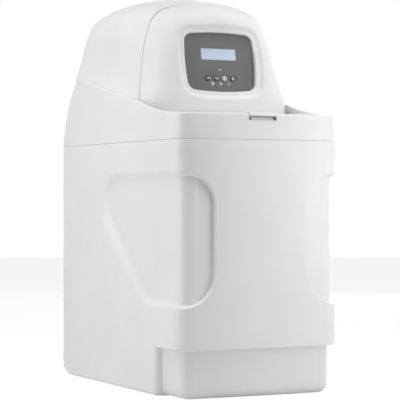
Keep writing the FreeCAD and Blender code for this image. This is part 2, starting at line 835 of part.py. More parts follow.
def display_parts():
    top = -panel_sink
    lens = Part.makeBox(2 * lcd_half_width, 2 * lcd_half_height, lens_thickness,
                        V(-lcd_half_width, lcd_centre - lcd_half_height, top - lens_thickness - 0.6))
    save("lcd_window", upright(lens, 0, 0, 0))
    w = lcd_half_width + 4
    h = lcd_half_height + 4
    module = Part.makeBox(2 * w, 2 * h, module_depth,
                          V(-w, lcd_centre - h, top - panel_thickness - module_depth))
    save("lcd_module", upright(module, 0, 0, 0))
    lamp = Part.makeBox(2 * lamp_half_width, 2 * lamp_half_height, panel_thickness + 0.2,
                        V(-lamp_half_width, lamp_line - lamp_half_height, top - panel_thickness))
    save("status_lens", upright(lamp, 0, 0, 0))
    back = top - board_back
    board = Part.makeBox(2 * board_half_width, 2 * board_half_height, board_thickness,
                         V(-board_half_width, -board_half_height, back - board_thickness))
    screws = []
    for x, y in panel_screw_places():
        board = board.cut(Part.makeCylinder(screw_radius + 0.2, 10, V(x, y, back - 5)))
        screw = Part.makeCylinder(screw_radius, 8, V(x, y, back - board_thickness))
        head = Part.makeCylinder(screw_head, 1.6, V(x, y, back - board_thickness - 1.6))
        screws.append(upright(screw.fuse(head), 0, 0, 0))
    connector = Part.makeBox(connector_length, connector_width, connector_height,
                             V(-board_half_width + connector_length / 2,
                               -board_half_height + connector_width / 2,
                               back - board_thickness - connector_height))
    save("controller_board", upright(board, 0, 0, 0).fuse(upright(connector, 0, 0, 0)))
    save("board_screws", Part.makeCompound(screws))
    switches = []
    cap_back = top - panel_thickness - 1.0
    for name, x in buttons():
        cap = Part.makeCylinder(button_radius, panel_thickness + button_stand,
                                V(x, button_line, top - panel_thickness))
        cap = cap.makeFillet(key_rounding,
                             [cap.Edges[0] if cap.Edges[0].CenterOfMass.z > top else cap.Edges[2]])
        flange = Part.makeCylinder(button_radius + key_flange, 1.0, V(x, button_line, cap_back))
        stem_length = (board_back - panel_thickness - 1.0 - switch_height - plunger_height
                       - button_travel - joint_gap)
        stem = Part.makeCylinder(key_stem, stem_length, V(x, button_line, cap_back - stem_length))
        save(name, upright(cap.fuse(flange).fuse(stem), 0, 0, 0))
        switch = Part.makeBox(switch_size, switch_size, switch_height,
                              V(x - switch_size / 2, button_line - switch_size / 2, back))
        plunger = Part.makeCylinder(plunger_radius, plunger_height, V(x, button_line, back + switch_height))
        switch = switch.fuse(plunger)
        switches.append(upright(switch, 0, 0, 0))
    save("key_switches", Part.makeCompound(switches))


def lid_outline(inset, z):
    x = lid_half_width - inset
    y0 = lid_front_y + inset
    y1 = lid_back_y - inset
    r = front_radius - 8 - inset
    k = r * (1 - math.sqrt(0.5))
    return face([
        line(V(-x + r, y0, z), V(x - r, y0, z)), arc(V(x - r, y0, z), V(x - k, y0 + k, z), V(x, y0 + r, z)),
        line(V(x, y0 + r, z), V(x, y1, z)), line(V(x, y1, z), V(-x, y1, z)),
        line(V(-x, y1, z), V(-x, y0 + r, z)), arc(V(-x, y0 + r, z), V(-x + k, y0 + k, z),
                                                  V(-x + r, y0, z))])


def salt_lid():
    z1 = deck_top + lid_height
    z0 = z1 - lid_thickness
    low = deck_top + lid_clearance
    lid = lid_outline(0, z0).extrude(V(0, 0, lid_thickness))
    rim = lid_outline(0, low).extrude(V(0, 0, z0 - low))
    rim = rim.cut(lid_outline(lid_rib, low).extrude(V(0, 0, z0 - low)))
    boss_half = tab_half_width + boss_margin + lid_clearance
    rim = rim.cut(box(-boss_half, boss_half, front_y, opening_front, low - 1, z0))
    x = opening_half_width - opening_fit
    y0 = opening_front + opening_fit
    y1 = opening_back - opening_fit
    ring = box(-x, x, y0, y1, deck_bottom, z0)
    ring = ring.cut(box(-x + lid_rib, x - lid_rib, y0 + lid_rib, y1 - lid_rib, deck_bottom - 1, z0))
    half = tab_half_width + tab_gap
    lid = lid.cut(box(-half, half, lid_front_y - 1, front_y + scoop_depth, z0 - 1, z1 + 1))
    lid = lid.fuse(rim).fuse(ring)
    tab_back = front_y + scoop_depth + lid_rib * 2
    tab = box(-tab_half_width, tab_half_width, front_y + tab_setback, tab_back, tab_top - tab_thickness,
              tab_top)
    neck = box(-tab_half_width, tab_half_width, front_y + scoop_depth, tab_back, z0, tab_top)
    lid = lid.fuse(tab).fuse(neck)
    for side in (-1, 1):
        x0 = side * knuckle_centre - knuckle_length / 2
        lid = lid.fuse(rod(lid_knuckle, V(x0, lid_hinge_y, z0), V(x0 + knuckle_length, lid_hinge_y, z0)))
        lid = lid.fuse(box(x0, x0 + knuckle_length, lid_back_y - 1, lid_hinge_y, z0, z0 + lid_thickness))
    for side in (-1, 1):
        x0 = side * knuckle_centre
        reach = knuckle_length
        lid = lid.cut(rod(lid_pin_radius + lid_pin_fit, V(x0 - reach, lid_hinge_y, z0),
                          V(x0 + reach, lid_hinge_y, z0)))
    return lid


def lid_hinge_pins():
    z = deck_top + lid_height - lid_thickness
    reach = knuckle_length / 2 + ear_gap + ear_thickness
    return Part.makeCompound([rod(lid_pin_radius, V(s * knuckle_centre - reach, lid_hinge_y, z),
                                  V(s * knuckle_centre + reach, lid_hinge_y, z)) for s in (-1, 1)])


def tank_solid(inset):
    """The tank's form drawn in by inset, turned about its upright axis."""
    r = tank_radius - inset
    n = tank_neck_radius - (inset * 1.6)
    z0 = tank_bottom + inset
    top = tank_top + (5 if inset else 0)
    a = V(0, 0, z0)
    b = V(r * 0.6, 0, z0 + 13)
    c = V(r, 0, tank_bottom + 62)
    d = V(r, 0, tank_shoulder)
    e = V(r * 0.78, 0, tank_shoulder + 46 - inset)
    f = V(n, 0, tank_neck_bottom - inset)
    g = V(n, 0, top)
    profile = face([arc(a, b, c), line(c, d), arc(d, e, f), line(f, g), line(g, V(0, 0, top)),
                    line(V(0, 0, top), a)])
    profile.translate(V(0, tank_y, 0))
    return profile.revolve(V(0, tank_y, 0), V(0, 0, 1), 360)


def on_tank(x, y, z):
    return V(x, tank_y + y, z)


def slotted(shape, radius, z0, z1, count, width):
    """Cut a ring of upright slots through a wall round the tank's axis."""
    for i in range(count):
        slot = box(radius - 6, radius + 6, -width / 2, width / 2, z0, z1)
        slot.rotate(V(0, 0, 0), V(0, 0, 1), 360.0 * i / count)
        slot.translate(V(0, tank_y, 0))
        shape = shape.cut(slot)
    return shape


def tank_group():
    save("resin_tank", tank_solid(0).cut(tank_solid(tank_wall)))
    low = inside_floor + floor_gap
    ring = tube(ring_radius, ring_radius - ring_wall, on_tank(0, 0, low), on_tank(0, 0, low + ring_height))
    grown = tank_solid(0)
    grown.translate(V(0, 0, -floor_gap))
    save("tank_base_ring", ring.cut(grown))
    bed = tank_solid(tank_wall + floor_gap).common(box(-far, far, -far, far, 0, bed_top))
    keep_out = rod(basket_radius + floor_gap, on_tank(0, 0, 0),
                   on_tank(0, 0, tank_bottom + tank_wall + basket_height + 3))
    bed = bed.cut(keep_out).cut(rod(riser_radius + floor_gap, on_tank(0, 0, 0), on_tank(0, 0, bed_top + 5)))
    save("resin_bed", bed)
    save("riser_tube", tube(riser_radius, riser_radius - riser_wall, on_tank(0, 0, riser_bottom),
                            on_tank(0, 0, riser_top)))
    z0 = tank_bottom + tank_wall + floor_gap
    basket = rod(basket_radius, on_tank(0, 0, z0), on_tank(0, 0, z0 + basket_height))
    basket = basket.cut(rod(basket_radius - basket_wall, on_tank(0, 0, z0 + basket_end),
                            on_tank(0, 0, z0 + basket_height - basket_end)))
    basket = slotted(basket, basket_radius, z0 + basket_margin, z0 + basket_height - basket_margin,
                     basket_slots, basket_slot)
    basket = basket.cut(rod(riser_radius + snug, on_tank(0, 0, riser_bottom),
                            on_tank(0, 0, z0 + basket_height + 1)))
    basket = basket.common(tank_solid(tank_wall + floor_gap))
    save("lower_basket", basket)
    z1 = tank_top - floor_gap
    z0 = z1 - upper_basket_height
    upper = rod(upper_basket_radius, on_tank(0, 0, z0), on_tank(0, 0, z1))
    upper = upper.cut(rod(upper_basket_radius - basket_wall, on_tank(0, 0, z0 + basket_end),
                          on_tank(0, 0, z1 + 1)))
    upper = slotted(upper, upper_basket_radius, z0 + basket_margin, z1 - basket_margin + 1, basket_slots,
                    basket_slot)
    save("upper_basket", upper.cut(rod(riser_radius + snug, on_tank(0, 0, z0 - 1), on_tank(0, 0, z1))))


def valve_body():
    z0 = tank_top
    collar = rod(collar_radius, on_tank(0, 0, z0), on_tank(0, 0, z0 + collar_height))
    collar = collar.fuse(rod(barrel_radius + 5, on_tank(0, 0, z0), on_tank(0, 0, valve_axis)))
    barrel = rod(barrel_radius, V(0, barrel_front, valve_axis), V(0, barrel_back, valve_axis))
    flange = rod(barrel_radius + valve_flange, V(0, barrel_front, valve_axis),
                 V(0, barrel_front + flange_width, valve_axis))
    body = collar.fuse(barrel).fuse(flange)
    body = body.fuse(box(-port_x - port_radius, port_x + port_radius, barrel_back - 20, barrel_back,
                         port_z - port_radius, port_z + port_radius))
    port_end = barrel_back + port_length
    for side in (-1, 1):
        body = body.fuse(rod(port_radius, V(side * port_x, barrel_back - 8, port_z),
                             V(side * port_x, port_end, port_z)))
    boss = rod(injector_radius, V(-barrel_radius + 8, barrel_front + injector_setback, valve_axis),
               V(-barrel_radius - injector_reach, barrel_front + injector_setback, valve_axis))
    body = body.fuse(boss)
    drain = rod(drain_stub, V(-10, barrel_back - drain_setback, drain_z),
                V(drain_x + 12, barrel_back - drain_setback, drain_z))
    body = body.fuse(drain)
    brine = rod(brine_stub, V(10, barrel_front + brine_stub_setback, brine_port_z),
                V(brine_port_x + 4, barrel_front + brine_stub_setback, brine_port_z))
    brine = brine.fuse(rod(brine_spout, V(brine_port_x, barrel_front + brine_stub_setback, brine_port_z),
                           V(brine_port_x, brine_port_y, brine_port_z)))
    body = body.fuse(brine)
    body = body.cut(rod(bore_radius, V(0, barrel_front - 1, valve_axis),
                        V(0, barrel_back - barrel_end, valve_axis)))
    for side in (-1, 1):
        body = body.cut(rod(port_bore, V(side * port_x, barrel_back - 14, port_z),
                            V(side * port_x, port_end + 1, port_z)))
    body = body.cut(rod(riser_radius + snug, on_tank(0, 0, z0 - 1), on_tank(0, 0, riser_top + 0.3)))
    body = body.cut(rod(riser_radius - riser_wall, on_tank(0, 0, riser_top), on_tank(0, 0, valve_axis)))
    body = body.cut(rod(upper_basket_radius - 4, on_tank(0, 0, z0 - 1), on_tank(0, 0, z0 + 8)))
    body = body.cut(rod(hose_radius - 1, V(brine_port_x, barrel_front + 12, brine_port_z),
                        V(brine_port_x, brine_port_y - 1, brine_port_z)))
    body = body.cut(rod(drain_bore, V(-barrel_radius, barrel_back - drain_setback, drain_z),
                        V(drain_x, barrel_back - drain_setback, drain_z)))
    for x, z in flange_screws():
        body = body.cut(rod(screw_radius, V(x, barrel_front - 1, z), V(x, barrel_front + 10, z)))
    return body


def flange_screws():
    r = barrel_radius + flange_screw_ring
    return [(r * math.cos(math.radians(a)), valve_axis + r * math.sin(math.radians(a)))
            for a in flange_screw_angles]


def gear(teeth, width, phase):
    """A spur gear lying on the plane y = 0, its axis along Y, one tooth at the phase angle."""
    pitch = gear_module * teeth / 2
    outer = pitch + gear_module * 0.9
    root = pitch - gear_module * 1.2
    step = 2 * math.pi / teeth
    half = (math.pi * gear_module / 4 - backlash / 2) / pitch
    slope = 0.36 * gear_module
    points = []
    for i in range(teeth):
        mid = math.radians(phase) + i * step
        for radius, spread in ((root, half + slope * 1.1 / pitch), (outer, half - slope * 0.9 / pitch),
                               (outer, -half + slope * 0.9 / pitch), (root, -half - slope * 1.1 / pitch)):
            angle = mid - spread
            points.append(V(radius * math.cos(angle), 0, radius * math.sin(angle)))
    return polygon(points).extrude(V(0, width, 0))


def drive_group():
    main = gear(main_teeth, gear_width, idler_angle)
    main.translate(V(0, gear_y, valve_axis))
    hub = rod(gear_hub, V(0, gear_y - 6, valve_axis), V(0, bracket_back + 2, valve_axis))
    main = main.fuse(hub)
    for i in range(web_holes):
        angle = math.radians(360 / web_holes * (i + 0.5))
        x = web_ring * math.cos(angle)
        z = valve_axis + web_ring * math.sin(angle)
        main = main.cut(rod(web_hole, V(x, gear_y - 1, z), V(x, gear_back + 1, z)))
    main = main.cut(rod(piston_rod + running_fit, V(0, gear_y - 10, valve_axis),
                        V(0, bracket_back + 20, valve_axis)))
    save("main_gear", main)
    facing = idler_angle + 180
    step = 360.0 / idler_teeth
    idler = gear(idler_teeth, gear_width, facing + step / 2)
    idler.translate(V(idler_x, gear_y, idler_z))
    idler = idler.fuse(rod(idler_hub, V(idler_x, gear_y - 2, idler_z),
                           V(idler_x, gear_back + bracket_gap / 2, idler_z)))
    idler = idler.cut(rod(axle_radius + running_fit, V(idler_x, gear_y - 5, idler_z),
                          V(idler_x, gear_back + 9, idler_z)))
    save("idler_gear", idler)
    tooth_to_pinion = (pinion_angle - (facing + step / 2)) / step
    miss = tooth_to_pinion - math.floor(tooth_to_pinion)
    pinion_step = 360.0 / pinion_teeth
    phase = pinion_angle + 180 + pinion_step / 2 + miss * pinion_step
    pinion = gear(pinion_teeth, gear_width, phase)
    pinion.translate(V(pinion_x, gear_y, pinion_z))
    pinion = pinion.cut(rod(motor_shaft + snug, V(pinion_x, gear_y - 5, pinion_z),
                            V(pinion_x, gear_back + 9, pinion_z)))
    shaft = rod(motor_shaft + snug, V(pinion_x, gear_y, pinion_z), V(pinion_x, bracket_back + 6, pinion_z))
    save("motor_pinion", pinion.fuse(shaft))
    save("idler_axle", rod(axle_radius, V(idler_x, gear_y - 3, idler_z), V(idler_x, bracket_back, idler_z)))
    plate = box(pinion_x - 18, 40, bracket_front, bracket_back, valve_axis - 42, idler_z + 12)
    plate = plate.fuse(tube(sleeve_radius, gear_hub + running_fit * 4, V(0, bracket_front, valve_axis),
                            V(0, barrel_front, valve_axis)))
    plate = plate.cut(rod(gear_hub + running_fit * 4, V(0, bracket_front - 1, valve_axis),
                          V(0, barrel_front + 1, valve_axis)))
    plate = plate.cut(rod(axle_radius + snug, V(idler_x, bracket_front - 1, idler_z),
                          V(idler_x, bracket_back + 1, idler_z)))
    plate = plate.cut(rod(motor_boss, V(pinion_x, bracket_front - 1, pinion_z),
                          V(pinion_x, bracket_back + 1, pinion_z)))
    screws = []
    for x, z in flange_screws():
        plate = plate.fuse(tube(pillar_radius, screw_radius + 0.2, V(x, bracket_back - 0.5, z),
                                V(x, barrel_front - 0.01, z)))
        plate = plate.cut(rod(screw_radius + 0.2, V(x, bracket_front - 1, z), V(x, bracket_back + 1, z)))
        screw = rod(screw_radius, V(x, bracket_front, z), V(x, barrel_front + 8, z))
        screws.append(screw.fuse(rod(screw_head, V(x, bracket_front - 1.6, z), V(x, bracket_front, z))))
    save("drive_bracket", plate)
    save("bracket_screws", Part.makeCompound(screws))
    motor = rod(motor_radius, V(pinion_x, bracket_back, pinion_z),
                V(pinion_x, bracket_back + motor_length, pinion_z))
    motor = motor.cut(rod(motor_shaft + running_fit, V(pinion_x, bracket_back - 1, pinion_z),
                          V(pinion_x, bracket_back + 8, pinion_z)))
    motor = motor.fuse(rod(motor_boss, V(pinion_x, bracket_back + motor_length, pinion_z),
                           V(pinion_x, bracket_back + motor_length + motor_boss_height, pinion_z)))
    save("drive_motor", motor)


def piston_group():
    head = rod(piston_radius, V(0, piston_head_front, valve_axis), V(0, piston_head_back, valve_axis))
    for y in (piston_head_front + 9, piston_head_front + 24):
        head = head.cut(tube(piston_radius + 1, piston_radius - 3, V(0, y, valve_axis),
                             V(0, y + 6, valve_axis)))
    stem = rod(piston_rod, V(0, piston_front, valve_axis), V(0, piston_head_front, valve_axis))
    save("piston", head.fuse(stem))
    rings = []
    start = barrel_front + 7
    for i in range(seal_count):
        y = start + i * seal_pitch
        rings.append(tube(bore_radius - snug, piston_radius + running_fit, V(0, y, valve_axis),
                          V(0, y + seal_width, valve_axis)))
    cage = []
    for angle in (45, 135, 225, 315):
        r = bore_radius - 3.5
        x = r * math.cos(math.radians(angle))
        z = valve_axis + r * math.sin(math.radians(angle))
        cage.append(rod(2.0, V(x, start, z), V(x, start + (seal_count - 1) * seal_pitch + seal_width, z)))
    save("seal_stack", rings[0].fuse(rings[1:] + cage))
    cap = rod(bore_radius - snug, V(0, barrel_front, valve_axis), V(0, start - 0.2, valve_axis))
    cap = cap.cut(rod(piston_rod + running_fit, V(0, barrel_front - 1, valve_axis),
                      V(0, start + 1, valve_axis)))
    save("piston_cap", cap)


def port_group():
    x = -barrel_radius - injector_reach
    y = barrel_front + injector_setback
    cap = rod(injector_radius - 1, V(x, y, valve_axis), V(x - 6, y, valve_axis))
    cap = cap.fuse(box(x - 11, x - 6, y - 2, y + 2, valve_axis - 11, valve_axis + 11))
    save("injector_cap", cap)
    y = barrel_back - drain_setback
    elbow = rod(drain_elbow_radius, V(drain_x + 12, y, drain_z), V(drain_x, y, drain_z))
    elbow = elbow.fuse(Part.makeSphere(drain_elbow_radius, V(drain_x, y, drain_z)))
    elbow = elbow.fuse(rod(drain_radius, V(drain_x, y, drain_z), V(drain_x, tail_end - 1, drain_z)))
    for i in range(drain_barbs):
        y0 = tail_end - barb_length - i * (barb_length + 1)
        elbow = elbow.fuse(Part.makeCone(drain_barb, drain_radius, barb_length,
                                         V(drain_x, y0 - 1, drain_z), V(0, 1, 0)))
    elbow = elbow.cut(rod(drain_bore, V(drain_x, y, drain_z), V(drain_x, tail_end + 1, drain_z)))
    elbow = elbow.cut(rod(drain_bore, V(drain_x + 13, y, drain_z), V(drain_x, y, drain_z)))
    save("drain_elbow", elbow)
    y0 = barrel_back + port_length + joint_gap
    y1 = y0 + bypass_length
    y_mid = (y0 + y1) / 2
    body = box(-port_x, port_x, y_mid - bypass_core, y_mid + bypass_core, port_z - bypass_core,
               port_z + bypass_core)
    for side in (-1, 1):
        x = side * port_x
        body = body.fuse(rod(port_radius, V(x, y0, port_z), V(x, y1, port_z)))
        body = body.fuse(rod(tower_radius, V(x, y_mid, port_z - port_radius), V(x, y_mid, tower_top)))
    for side in (-1, 1):
        x = side * port_x
        body = body.cut(rod(port_bore, V(x, y0 - 1, port_z), V(x, y1 + 1, port_z)))
        body = body.cut(rod(plug_radius + running_fit, V(x, y_mid, port_z - port_bore),
                            V(x, y_mid, tower_top + 1)))
    body = body.cut(rod(bypass_core_bore, V(-port_x, y_mid, port_z), V(port_x, y_mid, port_z)))
    save("bypass_body", body)
    for name, side in (("inlet_knob", 1), ("outlet_knob", -1)):
        x = side * port_x
        plug = rod(plug_radius, V(x, y_mid, port_z - port_bore + 0.5), V(x, y_mid, tower_top + joint_gap))
        plug = plug.cut(rod(plug_port, V(x, y_mid - 20, port_z), V(x, y_mid + 20, port_z)))
        plug = plug.fuse(rod(knob_radius, V(x, y_mid, tower_top + joint_gap),
                             V(x, y_mid, tower_top + knob_height)))
        z = tower_top + knob_height
        bar = box(x - knob_bar / 2, x + knob_bar / 2, y_mid - knob_radius - 3, y_mid + knob_radius - 2,
                  z - 2, z + 9)
        save(name, plug.fuse(bar))
    nuts = []
    for name, side in (("inlet_tail", 1), ("outlet_tail", -1)):
        x = side * port_x
        f0 = y1 + joint_gap
        f1 = f0 + tail_flange_width
        tail = rod(tail_flange, V(x, f0, port_z), V(x, f1, port_z))
        tail = tail.fuse(rod(tail_radius - thread_depth, V(x, f0, port_z), V(x, tail_end, port_z)))
        tail = tail.fuse(rod(tail_radius, V(x, f1 + nut_lip + 2 * joint_gap + tail_relief, port_z),
                             V(x, tail_end, port_z)))
        tail = tail.cut(rod(tail_bore, V(x, f0 - 1, port_z), V(x, tail_end + 1, port_z)))
        save(name, tail)
        n0 = f1 + joint_gap + nut_lip - nut_length
        nut = rod(nut_radius, V(x, n0, port_z), V(x, f1 + joint_gap + nut_lip, port_z))
        for i in range(nut_grooves):
            angle = math.radians(360 / nut_grooves * i)
            gx = x + nut_radius * math.cos(angle)
            gz = port_z + nut_radius * math.sin(angle)
            nut = nut.cut(rod(nut_groove, V(gx, n0 - 1, gz), V(gx, n0 + nut_length + 1, gz)))
        nut = nut.cut(rod(port_radius + 0.1, V(x, n0 - 1, port_z), V(x, f1 + joint_gap, port_z)))
        nut = nut.cut(rod(tail_radius + 0.3, V(x, n0, port_z), V(x, f1 + 10, port_z)))
        nuts.append(nut)
    save("coupling_nuts", Part.makeCompound(nuts))
    rotor = rod(turbine_hub, V(-port_x, barrel_back + 2, port_z),
                V(-port_x, barrel_back + 2 + turbine_length, port_z))
    for i in range(turbine_blades):
        blade = box(turbine_hub - 0.5, turbine_radius, -blade_thickness / 2, blade_thickness / 2, 0,
                    turbine_length)
        blade.rotate(V(0, 0, 0), V(1, 0, 0), blade_twist)
        blade.rotate(V(0, 0, 0), V(0, 0, 1), 360 / turbine_blades * i)
        blade = blade.common(Part.makeCylinder(turbine_radius, turbine_length))
        blade.rotate(V(0, 0, 0), V(1, 0, 0), -90)
        blade.translate(V(-port_x, barrel_back + 2, port_z))
        rotor = rotor.fuse(blade)
    rotor = rotor.cut(rod(meter_pin + running_fit, V(-port_x, barrel_back, port_z),
                          V(-port_x, barrel_back + 20, port_z)))
    save("meter_turbine", rotor)
    pin = rod(meter_pin, V(-port_x, barrel_back - 3, port_z),
              V(-port_x, barrel_back + port_length - 3, port_z))
    spider = tube(port_bore - snug, port_bore - 1.2, V(-port_x, barrel_back - 3, port_z),
                  V(-port_x, barrel_back - 1, port_z))
    spider = spider.fuse(box(-port_x - port_bore + 0.6, -port_x + port_bore - 0.6, barrel_back - 3,
                             barrel_back - 1,
                             port_z - 0.8, port_z + 0.8))
    spider = spider.fuse(box(-port_x - 0.8, -port_x + 0.8, barrel_back - 3, barrel_back - 1,
                             port_z - port_bore + 0.6, port_z + port_bore - 0.6))
    save("meter_axle", pin.fuse(spider))


def at_well(dx, dy, z):
    return V(well_x + dx, well_y + dy, z)


def tube_path(points, ratio=0.45):
    """Straight runs joined by tangent arcs; also returns the radii and the length."""
    edges = []
    radii = []
    last = points[0]
    for before, here, after in zip(points, points[1:], points[2:]):
        a = here - before
        b = after - here
        turn = a.getAngle(b)
        reach = ratio * min(a.Length, b.Length)
        radii.append(reach / math.tan(turn / 2))
        a.normalize()
        b.normalize()
        start = here - a * reach
        end = here + b * reach
        inward = b - a
        inward.normalize()
        centre = here + inward * math.hypot(reach, radii[-1])
        middle = centre - inward * radii[-1]
        edges.append(line(last, start))
        edges.append(arc(start, middle, end))
        last = end
    edges.append(line(last, points[-1]))
    return Part.Wire(edges), radii


def brine_group():
    low = inside_floor + floor_gap
    well = tube(well_radius, well_radius - well_wall, at_well(0, 0, low), at_well(0, 0, well_top))
    for i in range(wall_slots):
        slot = box(well_radius - 6, well_radius + 6, -wall_slot / 2, wall_slot / 2, low + 8, low + 40)
        slot.rotate(V(0, 0, 0), V(0, 0, 1), 360 / wall_slots * i + 10)
        slot.translate(at_well(0, 0, 0))
        well = well.cut(slot)
    save("brine_well", well)
    cap = rod(well_radius + 1.8, at_well(0, 0, well_top), at_well(0, 0, well_top + cap_thickness))
    cap = cap.fuse(tube(well_radius + 1.8, well_radius + 0.1, at_well(0, 0, well_top - cap_skirt),
                        at_well(0, 0, well_top)))
    cap = cap.cut(rod(hose_stub + 0.1, at_well(0, 0, well_top - 1), at_well(0, 0, well_top + 10)))
    save("brine_well_cap", cap)
    top = well_top - joint_gap
    z0 = top - brine_valve_height
    valve = rod(brine_valve_radius, at_well(0, 0, z0), at_well(0, 0, top))
    valve = valve.fuse(rod(hose_stub, at_well(0, 0, top), at_well(0, 0, hose_end_z)))
    valve = valve.fuse(rod(cross_tube, at_well(0, 0, z0 + 10), at_well(0, pickup_offset, z0 + 10)))
    valve = valve.fuse(rod(pickup_socket, at_well(0, pickup_offset, z0 + 3),
                           at_well(0, pickup_offset, z0 + 17)))
    valve = valve.cut(rod(pickup_radius + snug, at_well(0, pickup_offset, z0 - 1),
                          at_well(0, pickup_offset, z0 + 14)))
    valve = valve.cut(rod(rod_radius + running_fit, at_well(0, 0, z0 - 1),
                          at_well(0, 0, z0 + rod_seat + float_travel + rod_spare)))
    valve = valve.cut(rod(hose_radius - 1, at_well(0, 0, top + 4), at_well(0, 0, hose_end_z + 1)))
    save("brine_valve", valve)
    rod_low = inside_floor + cage_height - float_travel - rod_spare
    save("float_rod", rod(rod_radius, at_well(0, 0, rod_low), at_well(0, 0, z0 + rod_seat)))
    floater = tube(float_radius, rod_radius, at_well(0, 0, float_bottom),
                   at_well(0, 0, float_bottom + float_height))
    notch = rod(pickup_radius + 3, at_well(0, pickup_offset, float_bottom - 1),
                at_well(0, pickup_offset, float_bottom + float_height + 1))
    save("brine_float", floater.cut(notch))
    z = low
    cage = tube(cage_radius, cage_radius - cage_wall, at_well(0, 0, z), at_well(0, 0, z + cage_height))
    cage = cage.fuse(rod(cage_radius, at_well(0, 0, z + cage_height - cage_top),
                         at_well(0, 0, z + cage_height)))
    cage = cage.fuse(rod(cage_radius, at_well(0, 0, z), at_well(0, 0, z + cage_foot)))
    neck = z + cage_height - 14
    cage = cage.fuse(rod(cross_tube, at_well(0, cage_radius - 2, neck), at_well(0, pickup_offset, neck)))
    cage = cage.fuse(rod(pickup_socket, at_well(0, pickup_offset, neck - 7),
                         at_well(0, pickup_offset, neck + 7)))
    cage = cage.cut(rod(pickup_radius + snug, at_well(0, pickup_offset, neck - 4),
                        at_well(0, pickup_offset, neck + 8)))
    cage = cage.cut(rod(rod_radius + running_fit, at_well(0, 0, z + cage_height - 12),
                        at_well(0, 0, z + cage_height + 1)))
    for i in range(wall_slots):
        slot = box(cage_radius - 6, cage_radius + 6, -wall_slot / 2, wall_slot / 2, z + 8,
                   z + cage_height - 24)
        slot.rotate(V(0, 0, 0), V(0, 0, 1), 360 / wall_slots * i)
        slot.translate(at_well(0, 0, 0))
        cage = cage.cut(slot)
    ball = Part.makeSphere(ball_radius, at_well(0, 0, z + cage_foot + ball_radius + joint_gap))
    save("air_check_cage", cage)
    save("air_check_ball", ball)
    pick = tube(pickup_radius, pickup_radius - 1, at_well(0, pickup_offset, neck - 4 + joint_gap),
                at_well(0, pickup_offset, z0 + 14 - joint_gap))
    save("pickup_tube", pick)
    points = [V(brine_port_x, brine_port_y, brine_port_z),
              V(brine_port_x, brine_port_y - hose_run, brine_port_z),
              V(brine_port_x + 6, brine_port_y - 2 * hose_run, brine_port_z - hose_fall),
              at_well(-6, 2, hose_end_z + hose_bend_rise), at_well(0, 0, hose_end_z + hose_drop_rise),
              at_well(0, 0, hose_end_z)]
    wire, radii = tube_path(points)
    first = points[1] - points[0]
    section = Part.Wire(Part.Circle(points[0], first, hose_radius).toShape())
    hose = wire.makePipeShell([section], True, True)
    print("brine line: radii", [round(r, 1) for r in radii], "length", round(wire.Length, 1),
          "volume over section x length", round(hose.Volume / (math.pi * hose_radius ** 2 * wire.Length),
                                                4))
    save("brine_line", hose)


def platform_group():
    x = side_x - foot_inset - cabinet_wall - platform_clearance
    y0 = front_y + foot_inset + cabinet_wall + platform_clearance
    y1 = tank_y - tank_radius - platform_tank_gap
    z0 = platform_height
    plate = box(-x, x, y0, y1, z0, z0 + platform_thickness)
    corners = [e for e in plate.Edges if abs(e.Vertexes[0].Z - e.Vertexes[-1].Z) > 1 and e.CenterOfMass.y < y0 + 1]
    plate = plate.makeFillet(front_radius - foot_inset - cabinet_wall, corners)
    cells = []
    columns = int((x - platform_cell) / platform_pitch)
    rows = int((y1 - y0 - platform_margin - platform_cell) / platform_pitch)
    half = platform_cell / 2
    for i in range(-columns, columns + 1):
        for j in range(rows):
            cx = platform_pitch * i
            cy = y0 + platform_margin + platform_pitch * j
            if math.hypot(cx - well_x, cy - well_y) > well_radius + platform_cell + 2:
                cells.append(box(cx - half, cx + half, cy - half, cy + half, z0 - 1,
                                 z0 + platform_thickness + 1))
    plate = plate.cut(Part.makeCompound(cells))
    legs = []
    leg_x = side_x - leg_side_gap
    leg_y = tank_y - tank_radius - leg_tank_gap
    for lx, ly in ((-leg_x, y0 + leg_front_gap), (leg_x, y0 + leg_front_gap), (-leg_x, leg_y),
                   (well_x - leg_well_gap, leg_y)):
        legs.append(tube(platform_leg, platform_leg - 2.5, V(lx, ly, inside_floor + floor_gap),
                         V(lx, ly, z0 + 0.5)))
    plate = plate.fuse(legs)
    plate = plate.cut(rod(well_radius + platform_clearance, at_well(0, 0, 0), at_well(0, 0, z0 + 20)))
    plate = plate.cut(box(well_x, far, well_y, far, z0 - 1, z0 + platform_thickness + 1))
    save("salt_platform", plate)
    y = overflow_wall
    inner = y - cabinet_wall
    x = -service_recess_x
    z = overflow_z
    elbow = rod(spigot_flange, V(x, y + 0.1, z), V(x, y + 2.5, z))
    elbow = elbow.fuse(rod(spigot_radius, V(x, inner - 12, z), V(x, rear_y - 1, z)))
    for i in range(2):
        elbow = elbow.fuse(Part.makeCone(spigot_barb, spigot_radius, 4, V(x, rear_y - 6 - 6 * i, z),
                                         V(0, 1, 0)))
    elbow = elbow.fuse(Part.makeSphere(8.0, V(x, inner - 14, z)))
    elbow = elbow.fuse(rod(7.5, V(x, inner - 14, z), V(x, inner - 14, z - 22)))
    elbow = elbow.cut(rod(spigot_bore, V(x, inner - 14, z), V(x, rear_y + 1, z)))
    elbow = elbow.cut(rod(spigot_bore, V(x, inner - 14, z), V(x, inner - 14, z - 23)))
    save("overflow_elbow", elbow)
    nut = tube(spigot_flange - 1, spigot_radius + 0.1, V(x, inner - 5.1, z), V(x, inner - 0.1, z))
    save("overflow_nut", nut)


